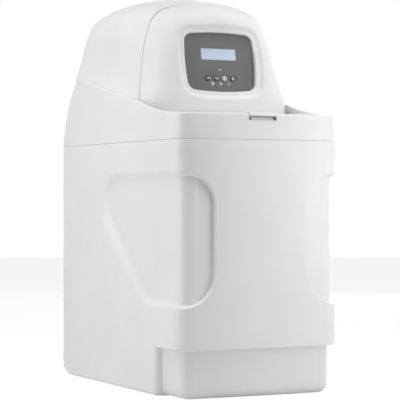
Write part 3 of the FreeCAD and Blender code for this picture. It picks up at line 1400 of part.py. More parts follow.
def power_inlet():
    y1 = rear_y - 3.0
    body = rod(inlet_radius - snug, V(inlet_x, y1 - inlet_length, inlet_z), V(inlet_x, y1 - 1.0, inlet_z))
    body = body.fuse(rod(inlet_radius + 2.5, V(inlet_x, y1 - inlet_length, inlet_z),
                         V(inlet_x, y1 - inlet_length + 6, inlet_z)))
    body = body.cut(tube(inlet_bore + 0.9, 1.0, V(inlet_x, y1 - 10, inlet_z), V(inlet_x, y1 + 1, inlet_z)))
    return body


def hood_screws():
    screws = []
    for x, y, z0, z1 in hood_bosses():
        screw = rod(screw_radius, V(x, y, deck_bottom), V(x, y, z1))
        screws.append(screw.fuse(rod(screw_head, V(x, y, deck_bottom - 1.8), V(x, y, deck_bottom))))
    return Part.makeCompound(screws)


save("brine_cabinet", brine_cabinet())
hood_outside = hood(0, deck_top + joint_gap)
save("top_cover", top_cover(hood(0, seam_height + 10), hood(cover_wall, seam_height - 30)))
save("hood_front", hood_front(hood_outside, hood(cover_wall, deck_top + joint_gap + cover_wall)))
save("display_panel", display_panel())
display_parts()
save("salt_lid", salt_lid())
save("lid_hinge_pins", lid_hinge_pins())
save("hood_screws", hood_screws())
save("power_inlet", power_inlet())
tank_group()
save("valve_body", valve_body())
drive_group()
piston_group()
port_group()
brine_group()
platform_group()
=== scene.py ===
import json
import math

import bmesh
import bpy
import numpy as np
from bpy.props import FloatProperty, FloatVectorProperty, IntProperty, PointerProperty
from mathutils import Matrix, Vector


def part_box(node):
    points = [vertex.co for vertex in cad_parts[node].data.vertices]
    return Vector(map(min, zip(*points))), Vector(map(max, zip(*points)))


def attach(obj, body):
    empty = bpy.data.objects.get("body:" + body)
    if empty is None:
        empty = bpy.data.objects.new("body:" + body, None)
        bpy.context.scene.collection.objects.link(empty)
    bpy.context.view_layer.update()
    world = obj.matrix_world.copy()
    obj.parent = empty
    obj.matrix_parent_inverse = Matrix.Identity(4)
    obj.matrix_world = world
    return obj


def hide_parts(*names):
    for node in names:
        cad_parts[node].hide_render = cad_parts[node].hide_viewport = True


bl_info = {
    "name": "Water softener dressing",
    "version": (1, 0, 0),
    "blender": (4, 5, 0),
    "location": "View3D > Sidebar > Softener",
    "description": "Moulded shells, display, keys and finishes of a compact cabinet water softener",
    "category": "Object",
}

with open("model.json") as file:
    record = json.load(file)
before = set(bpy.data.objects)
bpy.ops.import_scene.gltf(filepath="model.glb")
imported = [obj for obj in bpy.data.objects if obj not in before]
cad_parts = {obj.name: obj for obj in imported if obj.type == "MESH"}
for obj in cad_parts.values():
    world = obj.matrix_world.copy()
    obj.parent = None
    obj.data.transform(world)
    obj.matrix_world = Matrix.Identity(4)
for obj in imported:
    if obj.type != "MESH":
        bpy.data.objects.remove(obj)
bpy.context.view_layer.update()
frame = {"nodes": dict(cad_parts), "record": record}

MM = 0.001
SHARP_ANGLE = math.radians(32.0)

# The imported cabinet's box gives the outside sizes; these and all sizes below are in millimetres
cabinet_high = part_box("brine_cabinet")[1]
HALF_X = cabinet_high.x / MM
HALF_Y = cabinet_high.y / MM
SEAM_Z = cabinet_high.z / MM

# Cabinet: corner radii, the front's bow, the wall, and the rounding of its underside
FRONT_R = 32.0
REAR_R = 28.0
FRONT_BOW = 3.0
WALL = 3.5
TOE_R = 14.0
SIDE_FOOT_R = 6.0
HEEL_R = 62.0
HEEL_BLEND = 6.0

# The notch behind the foot: its depth, its top, its front wall's place and the rounding there, the steep
# width of that wall and of the ledge over it, and where the underside's rounding turns to the sides' one
FOOT_INSET = 12.0
FOOT_TOP = 71.5
FOOT_BACK = -152.0
FOOT_EDGE = 9.0
FOOT_WALL = (0.1, -0.7)
FOOT_LEDGE = (1.6, -0.8)
SIDE_FOOT = (206, 213)

# The recess on each side, unrolled round the corner: distances from the front's middle, heights, the slope
# at its lower back from where it leaves the floor to where it meets the back, and where its edge softens
RECESS_DEPTH = 8.0
RECESS_FRONT = 76.5
RECESS_BACK = 404.5
RECESS_LOW = 134.5
RECESS_TOP = 328.0
SLOPE_START = 255.3
SLOPE_END = 256.7
RECESS_TOP_R = 46.0
RECESS_FLOOR_R = 51.0
SLOPE_START_R = 60.0
SLOPE_END_R = 30.0
RECESS_SOFTENS = (105, 190)

# The middle of the cabinet's bottom, and the overflow pocket in its back
BOTTOM = (0, -20)
POCKET_X = (-125.0, -75.0)
POCKET_Z = 306.0
POCKET_Y = 216.0

# Cover: the front band and deck, the skirt's rim and the ledge behind it, the lip that drops into the
# cabinet, the pipe slot and the salt opening
BAND_TOP = 418.0
DECK_TOP = 407.0
DECK_WALL = 3.0
DECK_RUN = 150.0
SKIRT_WALL = 2.4
RIM = 3.5
RIM_ACROSS = 2.9
LEDGE_ACROSS = 1.3
LEDGE = 9.0
LIP_IN = 4.0
LIP_WALL = 2.5
LIP_DROP = 8.0
LIP_UP = 2.5
SLOT_X = 80.0
SLOT_Z = 484.0
OPENING_X = 100.0
OPENING_Y = (-221.0, -133.0)

# The finger scoop and the salt lid's tab over it, then the blocks that carry the lid's pins
TAB_X = 22.9
TAB_LOW = 413.7
TAB_TOP = 419.5
TAB_RUN = 15.6
TAB_GAP = 0.6
TAB_EDGE = 0.9
SCOOP_LOW = 407.6
SCOOP_BACK = -221.5
SCOOP_SLOPE_X = 18.0
HINGE_X = 90.0
HINGE_Y = (-127.6, -120.4)
HINGE_TOP = 414.6
HINGE_GAP = 10.4
HINGE_WIDTH = 4.0

# The joint between the hood's front and the dome, from its foot over the knee to the top, and its groove,
# which closes by a share between two heights
JOINT_Y = -49.0
JOINT_FORWARD = 17.5
JOINT_BOW = 8.0
JOINT_FOOT = 443.0
JOINT_KNEE = 505.0
JOINT_SLANT = 0.17
JOINT_GAP = 1.3
GAP_CLOSES = 0.55
GAP_Z = (440, 580)

# The hood's arch: half width up to its waist, then for each point half width, height and how much of the
# side inset, the top inset and the rise it takes; its corners are eased, less where it is drawn far in
WAIST_X = 123.5
WAIST_Z = 440.0
ARCH = np.array([
    (104.2, 534.0, 1.0, 0.5, 1.0), (90.8, 570.0, 0.93, 0.75, 1.1), (76.5, 584.5, 0.75, 0.88, 1.05),
    (57.0, 592.0, 0.55, 0.97, 1.0), (29.5, 597.9, 0.28, 1.0, 1.0), (0.0, 600.0, 0.0, 1.0, 1.0)])
ARCH_EASE = 13.0
FACE_EASE = 9.0

# Dome: its rise behind the joint, its rounded rear, how far its foot sinks behind the skirt's rim, its
# wall and flare, and the strip behind the joint's groove
RISE_Y = (-49.0, -10.0, 40.0, 90.0, 140.0, 184.0)
RISE_Z = (0.0, 11.0, 14.7, 16.6, 16.0, 10.2)
REAR_START = 184.0
REAR_Y = 223.0
REAR_DRAW = 14.0
DOME_SINK = 7.0
FRONT_SINK = 8.0
DOME_WALL = 2.8
FLARE = 5.2
FLARE_HEIGHT = 38.0
STRIP_INSET = 4.2
STRIP_WALL = 1.2
STRIP_Y = (-3.4, 2.4)

# Hood front: the leaning face, how far its rounding draws in at the sides, top and bottom, and its wall
FACE_Y = -102.0
FACE_Z = 503.0
LEAN = math.radians(10.3)
CORNER = 45.0
BROW = 38.0
CHIN = 20.0
HOOD_WALL = 2.6
HOOD_MIDDLE = np.array([0.0, 500.0])

# Display panel: half sizes, corner and bulge, its depth in the face, the dip and seat round it, and the
# rows of keys and lamps
PANEL_W = 62.2
PANEL_H = 49.0
PANEL_R = 12.0
PANEL_BULGE = 4.0
PANEL_GAP = 0.4
PANEL_SINK = 7.3
SURROUND_DEPTH = 4.3
SURROUND_LEDGE = 0.36
SEAT_DEPTH = 3.4
KEY_TOP = 0.8
KEY_LINE = -24.4
LAMP_LINE = -33.0

# The plain mark on each key: the key, its place across, the mark's width, and its lines from the key's middle
MARKS = (
    ("up", -21.0, 1.1, [[(-2.5, -1.0), (0.0, 1.4), (2.5, -1.0)]]),
    ("down", -7.0, 1.1, [[(-2.5, 1.0), (0.0, -1.4), (2.5, 1.0)]]),
    ("ok", 7.0, 0.7, [[(-1.4, 0.0), (-0.3, -1.1), (1.6, 1.1)]]),
    ("menu", 21.0, 1.2, [[(-1.8, 0.0), (1.8, 0.0)], [(0.0, -2.1), (0.0, 2.1)]]))
MARK_THICK = 0.25

# The lamp marks under the keys: place across, radius and hole
LAMP_MARKS = ((-14.0, 2.3, 0.8), (0.0, 1.8, 0.0), (14.0, 2.2, 1.8))

# The thread on each pipe tail, measured from the tail's open end
THREAD_START = 20.5
THREAD_RUN = 19.0
THREAD_R = 13.2

# The tank's axis and the crossing bands wound round it: bands round, and how steeply they climb
TANK_Y = 104.0
BANDS_ROUND = 14.0
BAND_CLIMB = 190.0

# The display's dot grid, in radians for each metre
DOT_WAVE = 6283.0

# Skirt lean: height over the seam against how far it leans in, everywhere, and how much more at the rear
# corners, with the distances round the outline between which that grows and fades
LEAN_Z, LEAN_IN = np.array([(0.0, 0.0), (6.0, 0.2), (41.0, 2.5), (69.0, 6.5), (101.0, 12.5), (121.0, 17.0)]).T
REAR_LEAN_S = (500, 588, 592, 650)
REAR_LEAN_Z = (0, 6, 47, 83, 100, 118, 140)
REAR_LEAN_IN = (0, 0, 1.6, 3.7, 6.2, 8.4, 8.8)

# Crease between skirt and dome: distance from the front against its rise over the band
CREASE_Y, CREASE_Z = np.array([
    (0.0, 0.0), (22.0, 0.0), (57.0, 2.5), (92.0, 7.0), (128.0, 14.5), (169.0, 25.0),
    (203.0, 31.0), (282.0, 45.5), (431.0, 76.0), (480.0, 81.0)]).T


def smoothstep(a, b, x):
    """0 up to a, 1 from b on, eased between; b may lie before a."""
    t = np.clip((np.asarray(x, float) - a) / (b - a), 0, 1)
    return t * t * (3 - 2 * t)


def steps(*spans):
    """Places along a line: each span is (start, end, step); shared ends are kept once."""
    out = []
    for start, end, step in spans:
        count = max(1, round(abs(end - start) / step))
        out += list(np.linspace(start, end, count + 1))
    return np.array(sorted(set(np.round(out, 4))))


def merged(*places):
    """Several sets of places along a line as one, in order."""
    return np.array(sorted(set(np.concatenate(places))))


def smooth_curve(x, y, at, width):
    """A table read as a curve, with its corners rounded over the given width."""
    at = np.asarray(at, float)
    taps = np.linspace(-1, 1, 9)
    weights = (1 - taps ** 2) + 0.05
    total = sum(w * np.interp(at + t * width, x, y) for t, w in zip(taps, weights))
    return total / weights.sum()


def lean_in(z):
    """How far the skirt leans in at each height."""
    return smooth_curve(LEAN_Z, LEAN_IN, np.asarray(z) - SEAM_Z, 14.0)


def corner_lean(s, z):
    """How much further the skirt leans in at its rear corners, to meet the dome."""
    grows, full, fades, ends = REAR_LEAN_S
    share = smoothstep(grows, full, np.abs(s)) * (1 - smoothstep(fades, ends, np.abs(s)))
    return share * smooth_curve(REAR_LEAN_Z, REAR_LEAN_IN, z - SEAM_Z, 10.0)


def crease(y):
    """Height of the crease between the skirt and the dome, along the depth."""
    return BAND_TOP + smooth_curve(CREASE_Y, CREASE_Z, np.asarray(y) + HALF_Y, 16.0)


def joint_y(z):
    """Where the hood's front meets the dome, at each height."""
    z = np.asarray(z, float)
    t = np.clip((JOINT_KNEE - z) / (JOINT_KNEE - JOINT_FOOT), 0, 1)
    bow = 4 * (JOINT_FORWARD / 2 - JOINT_BOW) * t * (1 - t)
    return JOINT_Y - JOINT_FORWARD * t + bow + JOINT_SLANT * np.maximum(z - JOINT_KNEE, 0)


def joint_gap(z):
    """How wide the groove between hood and dome is, at each height."""
    return JOINT_GAP * (1 - GAP_CLOSES * smoothstep(*GAP_Z, z))


def rise_at(y):
    """How much higher the dome stands at y than at its joint."""
    return smooth_curve(RISE_Y, RISE_Z, y, 12.0)


class Footprint:
    """The cabinet's rounded outline, from the middle of the front round by the right side."""

    front = HALF_X - FRONT_R
    corner = FRONT_R * math.pi / 2
    side = 2 * HALF_Y - FRONT_R - REAR_R
    heel = REAR_R * math.pi / 2
    half = front + corner + side + heel + HALF_X - REAR_R

    @classmethod
    def at(cls, s):
        """Point and inward direction at distance s; a negative s runs round by the left side."""
        s = np.asarray(s, float)
        mirror = np.where(s < 0, -1.0, 1.0)
        d = np.abs(s)
        a1 = np.clip((d - cls.front) / FRONT_R, 0, math.pi / 2)
        s2 = cls.front + cls.corner
        s3 = s2 + cls.side
        a2 = np.clip((d - s3) / REAR_R, 0, math.pi / 2)
        back_x = np.where(d < s3 + cls.heel, HALF_X - REAR_R + REAR_R * np.cos(a2), cls.half - d)
        x = np.where(d < cls.front, d, np.where(d < s3, cls.front + FRONT_R * np.sin(a1), back_x))
        back_y = np.where(d < s3, -HALF_Y + FRONT_R + d - s2, HALF_Y - REAR_R + REAR_R * np.sin(a2))
        y = np.where(d < s2, -HALF_Y + FRONT_R * (1 - np.cos(a1)), back_y)
        # the front bows out a little towards its middle
        run = np.minimum(d, cls.front) / cls.front
        y = y + np.where(d < s2, FRONT_BOW * run ** 4 * np.cos(a1) ** 2, 0.0)
        lean = np.where(d < s2, 4 * FRONT_BOW / cls.front * run ** 3 * (1 - a1 / (math.pi / 2)), 0.0)
        angle = np.where(d < s3, a1 + lean, math.pi / 2 + a2)
        return np.stack([x * mirror, y], -1), np.stack([-np.sin(angle) * mirror, np.cos(angle)], -1)


def rounded_loop(corners, count=14):
    """A closed outline from (x, y, radius) corners, each rounded by an arc."""
    out = []
    n = len(corners)
    for i in range(n):
        here = np.array(corners[i][:2], float)
        a = np.array(corners[i - 1][:2], float) - here
        b = np.array(corners[(i + 1) % n][:2], float) - here
        a /= np.linalg.norm(a)
        b /= np.linalg.norm(b)
        half = math.acos(np.clip(a @ b, -1, 1)) / 2
        radius = corners[i][2]
        middle = a + b
        middle /= np.linalg.norm(middle)
        centre = here + middle * radius / math.sin(half)
        start = here + a * radius / math.tan(half) - centre
        end = here + b * radius / math.tan(half) - centre
        a0 = math.atan2(start[1], start[0])
        sweep = (math.atan2(end[1], end[0]) - a0 + math.pi) % (2 * math.pi) - math.pi
        for t in np.linspace(0, 1, count):
            out.append(centre + radius * np.array([math.cos(a0 + sweep * t), math.sin(a0 + sweep * t)]))
    return np.array(out)


def depth_inside(loop, x, y):
    """Distance from points to a closed outline, positive inside it."""
    p = np.stack([np.ravel(x), np.ravel(y)], -1)
    a = loop
    b = np.roll(loop, -1, 0)
    ab = b - a
    best = np.full(len(p), 1e9)
    inside = np.zeros(len(p), bool)
    for (ax, ay), (bx, by), (dx, dy) in zip(a, b, ab):
        t = np.clip(((p[:, 0] - ax) * dx + (p[:, 1] - ay) * dy) / max(dx * dx + dy * dy, 1e-12), 0, 1)
        best = np.minimum(best, np.hypot(p[:, 0] - ax - t * dx, p[:, 1] - ay - t * dy))
        if ay != by:
            across = (bx - ax) * (p[:, 1] - ay) / (by - ay) + ax
            inside ^= ((ay > p[:, 1]) != (by > p[:, 1])) & (p[:, 0] < across)
    return np.where(inside, best, -best).reshape(np.shape(x))


class Shell:
    """Collects grids and loops of points in millimetres and makes one mesh of them in metres."""

    def __init__(self):
        self.points = []
        self.faces = []

    def grid(self, p, wrap=False, flip=False):
        """Rows of points joined by quads; wrap closes each row into a ring."""
        rows, cols = p.shape[:2]
        base = len(self.points)
        self.points += [tuple(v) for v in p.reshape(-1, 3)]
        for i in range(rows - 1):
            for j in range(cols if wrap else cols - 1):
                low, k = base + i * cols, (j + 1) % cols
                quad = (low + j, low + k, low + cols + k, low + cols + j)
                self.faces.append(quad[::-1] if flip else quad)

    def fan(self, loop, centre, flip=False):
        """A closed loop filled with triangles from a centre."""
        base = len(self.points)
        self.points += [tuple(v) for v in loop] + [tuple(centre)]
        n = len(loop)
        for j in range(n):
            tri = (base + j, base + (j + 1) % n, base + n)
            self.faces.append(tri[::-1] if flip else tri)

    def mesh(self, name, merge=0.02, recalc=False):
        """The mesh, with points nearer than merge made one; recalc turns its faces outwards."""
        data = bpy.data.meshes.new(name)
        data.from_pydata([tuple(c * MM for c in p) for p in self.points], [], self.faces)
        bm = bmesh.new()
        bm.from_mesh(data)
        bmesh.ops.remove_doubles(bm, verts=bm.verts, dist=merge * MM)
        bmesh.ops.dissolve_degenerate(bm, edges=bm.edges, dist=merge * MM * 0.5)
        if recalc:
            bmesh.ops.recalc_face_normals(bm, faces=bm.faces)
        bm.to_mesh(data)
        bm.free()
        return data


def smooth_by_angle(data):
    """Smooth shading, but for the sharp edges."""
    data.polygons.foreach_set("use_smooth", [True] * len(data.polygons))
    data.set_sharp_from_angle(angle=SHARP_ANGLE)


def place(name, data, body, material, replaces=()):
    """A finished mesh as a piece on its body, with its material and the parts it stands for."""
    if not data.polygons:
        raise RuntimeError(name + " has no faces")
    smooth_by_angle(data)
    obj = bpy.data.objects.new(name, data)
    bpy.context.scene.collection.objects.link(obj)
    data.materials.clear()
    data.materials.append(material)
    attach(obj, body)
    if replaces:
        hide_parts(*replaces)
    return obj


def evaluated(data, *modifiers):
    """The mesh after the given modifiers, each (type, settings), as plain data."""
    obj = bpy.data.objects.new("work", data)
    bpy.context.scene.collection.objects.link(obj)
    for kind, settings in modifiers:
        modifier = obj.modifiers.new(kind.title(), kind)
        for key, value in settings.items():
            setattr(modifier, key, value)
    bpy.context.view_layer.update()
    result = bpy.data.meshes.new_from_object(obj.evaluated_get(bpy.context.evaluated_depsgraph_get()))
    bpy.data.objects.remove(obj)
    return result


def walled(data, wall, offset=1.0):
    """A sheet given a wall in millimetres; offset 1 or -1 chooses the side of its faces."""
    return evaluated(data, ("SOLIDIFY", {"thickness": wall * MM, "offset": offset}))


def joined(name, parts):
    """Several meshes as one."""
    bm = bmesh.new()
    for part in parts:
        bm.from_mesh(part)
    data = bpy.data.meshes.new(name)
    bm.to_mesh(data)
    bm.free()
    return data


def box_mesh(x0, x1, y0, y1, z0, z1, bevel, turn=None):
    """A block with rounded edges, in millimetres; turn maps its points afterwards."""
    bm = bmesh.new()
    bmesh.ops.create_cube(bm, size=1.0)
    size = np.array([x1 - x0, y1 - y0, z1 - z0])
    centre = np.array([x0 + x1, y0 + y1, z0 + z1]) / 2
    for v in bm.verts:
        v.co = Vector(np.array(v.co) * size + centre)
    bmesh.ops.bevel(bm, geom=bm.edges[:], offset=bevel, segments=3, profile=0.5, affect="EDGES")
    for v in bm.verts:
        p = turn(*v.co) if turn else v.co
        v.co = Vector(p) * MM
    data = bpy.data.meshes.new("block")
    bm.to_mesh(data)
    bm.free()
    return data


def on_face(x, along, out):
    """A point given flat (x right, along up, out towards the viewer) put on the leaning face."""
    return (x, FACE_Y + along * math.sin(LEAN) - out * math.cos(LEAN),
            FACE_Z + along * math.cos(LEAN) + out * math.sin(LEAN))


# Shaders


class Sock:
    """A shader socket that takes Python arithmetic; each operation adds a Math node."""

    def __init__(self, tree, socket):
        self.tree = tree
        self.socket = socket

    def math(self, operation, other=None, swap=False):
        node = self.tree.nodes.new("ShaderNodeMath")
        node.operation = operation
        for i, value in enumerate((other, self) if swap else (self, other)):
            if isinstance(value, Sock):
                self.tree.links.new(value.socket, node.inputs[i])
            elif value is not None:
                node.inputs[i].default_value = value
        return Sock(self.tree, node.outputs[0])

    def __add__(self, other):
        return self.math("ADD", other)

    __radd__ = __add__

    def __sub__(self, other):
        return self.math("SUBTRACT", other)

    def __rsub__(self, other):
        return self.math("SUBTRACT", other, swap=True)

    def __mul__(self, other):
        return self.math("MULTIPLY", other)

    __rmul__ = __mul__

    def __truediv__(self, other):
        return self.math("DIVIDE", other)

    def clamp(self):
        return self.math("MINIMUM", 1.0).math("MAXIMUM", 0.0)

    def ramp(self, low, high):
        """0 at low, 1 at high, eased between."""
        t = ((self - low) / (high - low)).clamp()
        return t * t * (3.0 - 2.0 * t)


class Paint:
    """One procedural material, built on Object coordinates."""

    def __init__(self, name, **fixed):
        self.material = bpy.data.materials.new(name)
        self.material.use_nodes = True
        self.tree = self.material.node_tree
        self.tree.nodes.clear()
        self.shader = self.tree.nodes.new("ShaderNodeBsdfPrincipled")
        output = self.tree.nodes.new("ShaderNodeOutputMaterial")
        self.tree.links.new(self.shader.outputs[0], output.inputs[0])
        for key, value in fixed.items():
            self.shader.inputs[key.replace("_", " ")].default_value = value
        coords = self.tree.nodes.new("ShaderNodeTexCoord")
        self.place = Sock(self.tree, coords.outputs["Object"])

    def node(self, kind, settings=None, output=0, **values):
        node = self.tree.nodes.new(kind)
        for key, value in (settings or {}).items():
            setattr(node, key, value)
        for key, value in values.items():
            socket = node.inputs[int(key[1:])] if key[0] == "i" and key[1:].isdigit() else node.inputs[key]
            if isinstance(value, Sock):
                self.tree.links.new(value.socket, socket)
            else:
                socket.default_value = value
        return Sock(self.tree, node.outputs[output])

    def noise(self, scale, detail=2.0, rough=0.5, stretch=None):
        vector = self.place
        if stretch:
            vector = self.node("ShaderNodeVectorMath", {"operation": "MULTIPLY"}, i0=self.place, i1=stretch)
        return self.node("ShaderNodeTexNoise", Vector=vector, Scale=scale, Detail=detail, Roughness=rough)

    def axis(self, letter):
        return self.node("ShaderNodeSeparateXYZ", output="XYZ".index(letter), i0=self.place)

    def mix(self, factor, a, b):
        return self.node("ShaderNodeMix", {"data_type": "RGBA"}, output=2, i0=factor, i6=a, i7=b)

    def set(self, key, value):
        self.tree.links.new(value.socket, self.shader.inputs[key])

    def bump(self, height, strength, distance):
        node = self.tree.nodes.new("ShaderNodeBump")
        node.inputs["Strength"].default_value = strength
        node.inputs["Distance"].default_value = distance
        self.tree.links.new(height.socket, node.inputs["Height"])
        self.tree.links.new(node.outputs[0], self.shader.inputs["Normal"])


def rgba(color, gain=1.0):
    """A colour made lighter or darker, with its alpha."""
    return tuple(min(1.0, c * gain) for c in color[:3]) + (1.0,)


def moulded(name, color, rough=0.42, grain=900.0, grain_height=0.00002, cloud=0.02):
    """Satin moulded plastic: a fine spark-eroded grain, faint clouding and uneven gloss."""
    paint = Paint(name, IOR=1.46)
    clouds = paint.noise(9.0, 3.0, 0.55)
    fine = paint.noise(grain, 2.0, 0.6)
    paint.set("Base Color", paint.mix(clouds.ramp(0.3, 0.7), rgba(color, 1 - cloud), rgba(color, 1 + cloud)))
    paint.set("Roughness", clouds * 0.06 + fine * 0.08 + (rough - 0.07))
    paint.bump(fine, 0.25, grain_height)
    return paint.material


def metal(name, color, rough=0.32, brushed=(1, 1, 40)):
    """Plated or drawn metal with a fine directional scratch."""
    paint = Paint(name)
    scratch = paint.noise(300.0, 3.0, 0.6, brushed)
    tone = paint.noise(40.0, 2.0)
    paint.shader.inputs["Metallic"].default_value = 1.0
    paint.set("Base Color", paint.mix(tone, rgba(color, 0.9), rgba(color, 1.08)))
    paint.set("Roughness", scratch * 0.16 + (rough - 0.08))
    paint.bump(scratch, 0.15, 0.00002)
    return paint.material


def rubbery(name, color, rough=0.7):
    """Soft rubber: matt, with a mottled bloom."""
    paint = Paint(name, IOR=1.5)
    bloom = paint.noise(120.0, 4.0, 0.6)
    paint.set("Base Color", paint.mix(bloom.ramp(0.35, 0.75), rgba(color, 0.85), rgba(color, 1.35)))
    paint.set("Roughness", bloom * 0.15 + (rough - 0.08))
    paint.bump(bloom, 0.2, 0.00005)
    return paint.material


def wound_shell(name, color):
    """Resin-bonded glass fibre, wound in crossing bands."""
    paint = Paint(name, IOR=1.52)
    turn = (paint.axis("Y") - TANK_Y * MM).math("ARCTAN2", paint.axis("X"))
    climb = paint.axis("Z") * BAND_CLIMB
    up = (turn * BANDS_ROUND + climb).math("SINE").math("ABSOLUTE")
    down = (turn * BANDS_ROUND - climb).math("SINE").math("ABSOLUTE")
    bands = up.math("MAXIMUM", down)
    fibres = paint.noise(260.0, 3.0, 0.6, (1, 1, 7))
    paint.set("Base Color", paint.mix(bands * 0.55 + fibres * 0.45, rgba(color, 0.86), rgba(color, 1.1)))
    paint.set("Roughness", fibres * 0.2 + 0.22)
    paint.bump(bands + fibres * 0.5, 0.3, 0.0003)
    return paint.material


def beads(name, color):
    """A bed of small resin beads, with painted shade: each bead is lighter at its middle and darker where it
    meets its neighbours.
    """
    paint = Paint(name, IOR=1.5)
    cells = paint.node("ShaderNodeTexVoronoi", Vector=paint.place, Scale=1300.0)
    # painted shade: lighter at each bead's middle, darker towards the edges between beads
    paint.set("Base Color", paint.mix(cells.ramp(0.0, 0.5), rgba(color, 1.3), rgba(color, 0.55)))
    paint.set("Roughness", cells * 0.3 + 0.2)
    paint.bump(1.0 - cells, 0.6, 0.0004)
    return paint.material


def circuit_board(name, color):
    """Solder mask over copper tracks."""
    paint = Paint(name, IOR=1.5)
    x = (paint.axis("X") * 320.0).math("SINE")
    z = (paint.axis("Z") * 260.0).math("SINE")
    gate = paint.noise(70.0, 1.0).ramp(0.45, 0.55)
    tracks = (x.ramp(0.86, 0.93) * gate).math("MAXIMUM", z.ramp(0.88, 0.94) * (1.0 - gate))
    paint.set("Base Color", paint.mix(tracks, rgba(color), rgba((0.12, 0.42, 0.2))))
    paint.set("Roughness", tracks * 0.1 + 0.28)
    paint.bump(tracks, 0.3, 0.00005)
    return paint.material


def fascia(name, color):
    """The dark display panel: finely grained, with a painted sheen that makes it lighter towards its top and
    its middle.
    """
    paint = Paint(name, IOR=1.48)
    fine = paint.noise(1400.0, 2.0, 0.6)
    # painted sheen: lighter towards the panel's top and its middle, darker towards its left and right ends
    painted_sheen_top = paint.axis("Z").ramp(0.46, 0.545)
    edge = paint.axis("X").math("ABSOLUTE").ramp(0.03, 0.058)
    tone = (painted_sheen_top * 0.35 + fine * 0.1 + (1.0 - edge) * 0.3).clamp()
    paint.set("Base Color", paint.mix(tone, rgba(color, 0.86), rgba(color, 1.22)))
    paint.set("Roughness", fine * 0.12 + 0.36)
    paint.bump(fine, 0.2, 0.00002)
    return paint.material


def display_glass(name, color):
    """A pale display behind a clear lens, with its faint dot grid and a faint painted glow from emission."""
    paint = Paint(name, IOR=1.49, Coat_Weight=0.6, Coat_Roughness=0.05)
    columns, rows = ((paint.axis(letter) * DOT_WAVE).math("SINE") for letter in "XZ")
    dots = (columns * rows).math("ABSOLUTE")
    glow = paint.noise(22.0, 1.0)
    tone = (glow.ramp(0.3, 0.7) * 0.75 + dots * 0.25).clamp()
    colour = paint.mix(tone, rgba(color, 0.92), rgba(color, 1.1))
    paint.set("Base Color", colour)
    # painted glow: the display's own colour is also given out as faint emission
    paint.set("Emission Color", colour)
    paint.shader.inputs["Emission Strength"].default_value = 0.18
    paint.set("Roughness", glow * 0.1 + 0.1)
    return paint.material


class Finishes:
    """Every material, made once and found by its record slot."""

    made = {}

    @classmethod
    def build(cls, finish):
        white, grey = finish.white, finish.panel_grey
        cls.made = {
            "cabinet_white": moulded("cabinet_plastic", white, 0.44, 700.0),
            "cover_white": moulded("cover_plastic", white, 0.4),
            "hood_white": moulded("hood_plastic", white, 0.38),
            "lid_white": moulded("lid_plastic", white, 0.4),
            "panel_grey": fascia("panel_plastic", grey),
            "display_blue": display_glass("display_window", finish.display_blue),
            "lamp_lens": moulded("lamp_plastic", (0.8, 0.82, 0.85), 0.25),
            "key_dark": moulded("key_plastic_dark", tuple(c * 0.7 for c in grey), 0.45, 1200.0),
            "key_white": moulded("key_plastic_white", (0.82, 0.82, 0.82), 0.35, 1200.0),
            "mark_white": moulded("printed_mark", (0.78, 0.78, 0.78), 0.5, 1500.0),
            "module_grey": metal("module_frame", (0.5, 0.51, 0.52)),
            "board_green": circuit_board("board_mask", (0.02, 0.16, 0.07)),
            "switch_black": moulded("switch_plastic", (0.03, 0.03, 0.03), 0.5),
            "zinc_steel": metal("zinc_plate", (0.62, 0.62, 0.6)),
            "socket_black": moulded("socket_plastic", (0.03, 0.03, 0.03), 0.45),
            "tank_shell": wound_shell("wound_fibre", (0.62, 0.6, 0.53)),
            "base_black": rubbery("base_plastic", (0.03, 0.03, 0.03), 0.55),
            "resin_amber": beads("resin_beads", (0.42, 0.2, 0.04)),
            "pipe_white": moulded("pipe_plastic", (0.7, 0.7, 0.68), 0.42),
            "basket_grey": moulded("basket_plastic", (0.42, 0.43, 0.44), 0.5),
            "valve_black": moulded("glass_filled_plastic", (0.035, 0.035, 0.038), 0.5, 500.0, 0.00004, 0.2),
            "piston_teal": moulded("piston_coat", (0.05, 0.2, 0.22), 0.3),
            "seal_rubber": rubbery("seal_compound", (0.025, 0.025, 0.025)),
            "fitting_grey": moulded("fitting_plastic", (0.22, 0.225, 0.23), 0.48),
            "bracket_grey": moulded("bracket_plastic", (0.1, 0.1, 0.105), 0.5, 500.0),
            "motor_can": metal("motor_plate", (0.56, 0.56, 0.56), 0.28, (40, 1, 1)),
            "gear_nylon": moulded("gear_nylon_plastic", (0.72, 0.7, 0.62), 0.46),
            "turbine_white": moulded("turbine_plastic", (0.75, 0.75, 0.75), 0.4),
            "knob_red": moulded("knob_plastic", (0.42, 0.03, 0.025), 0.4),
            "nut_black": moulded("nut_plastic", (0.04, 0.04, 0.04), 0.5, 500.0),
            "hose_black": rubbery("hose_plastic", (0.045, 0.045, 0.045), 0.4),
            "cap_white": moulded("cap_plastic", (0.74, 0.74, 0.74), 0.45),
            "float_white": rubbery("float_foam", (0.7, 0.7, 0.65), 0.8),
            "ball_blue": moulded("ball_plastic", (0.06, 0.12, 0.35), 0.3),
            "platform_white": moulded("platform_plastic", (0.7, 0.7, 0.7), 0.5),
        }


def colour_setting(name, description, default):
    return FloatVectorProperty(name=name, description=description, subtype="COLOR", size=3, min=0, max=1,
                               default=default)


def length_setting(name, description, default, least):
    return FloatProperty(name=name, description=description, subtype="DISTANCE", unit="LENGTH",
                         default=default, min=least)


class SoftenerFinish(bpy.types.PropertyGroup):
    """Colours of the outside"""

    white: colour_setting("White", "Colour of the moulded shells", (0.83, 0.832, 0.84))
    panel_grey: colour_setting("Panel grey", "Colour of the display panel", (0.128, 0.128, 0.128))
    display_blue: colour_setting("Display", "Colour of the display window", (0.415, 0.495, 0.625))


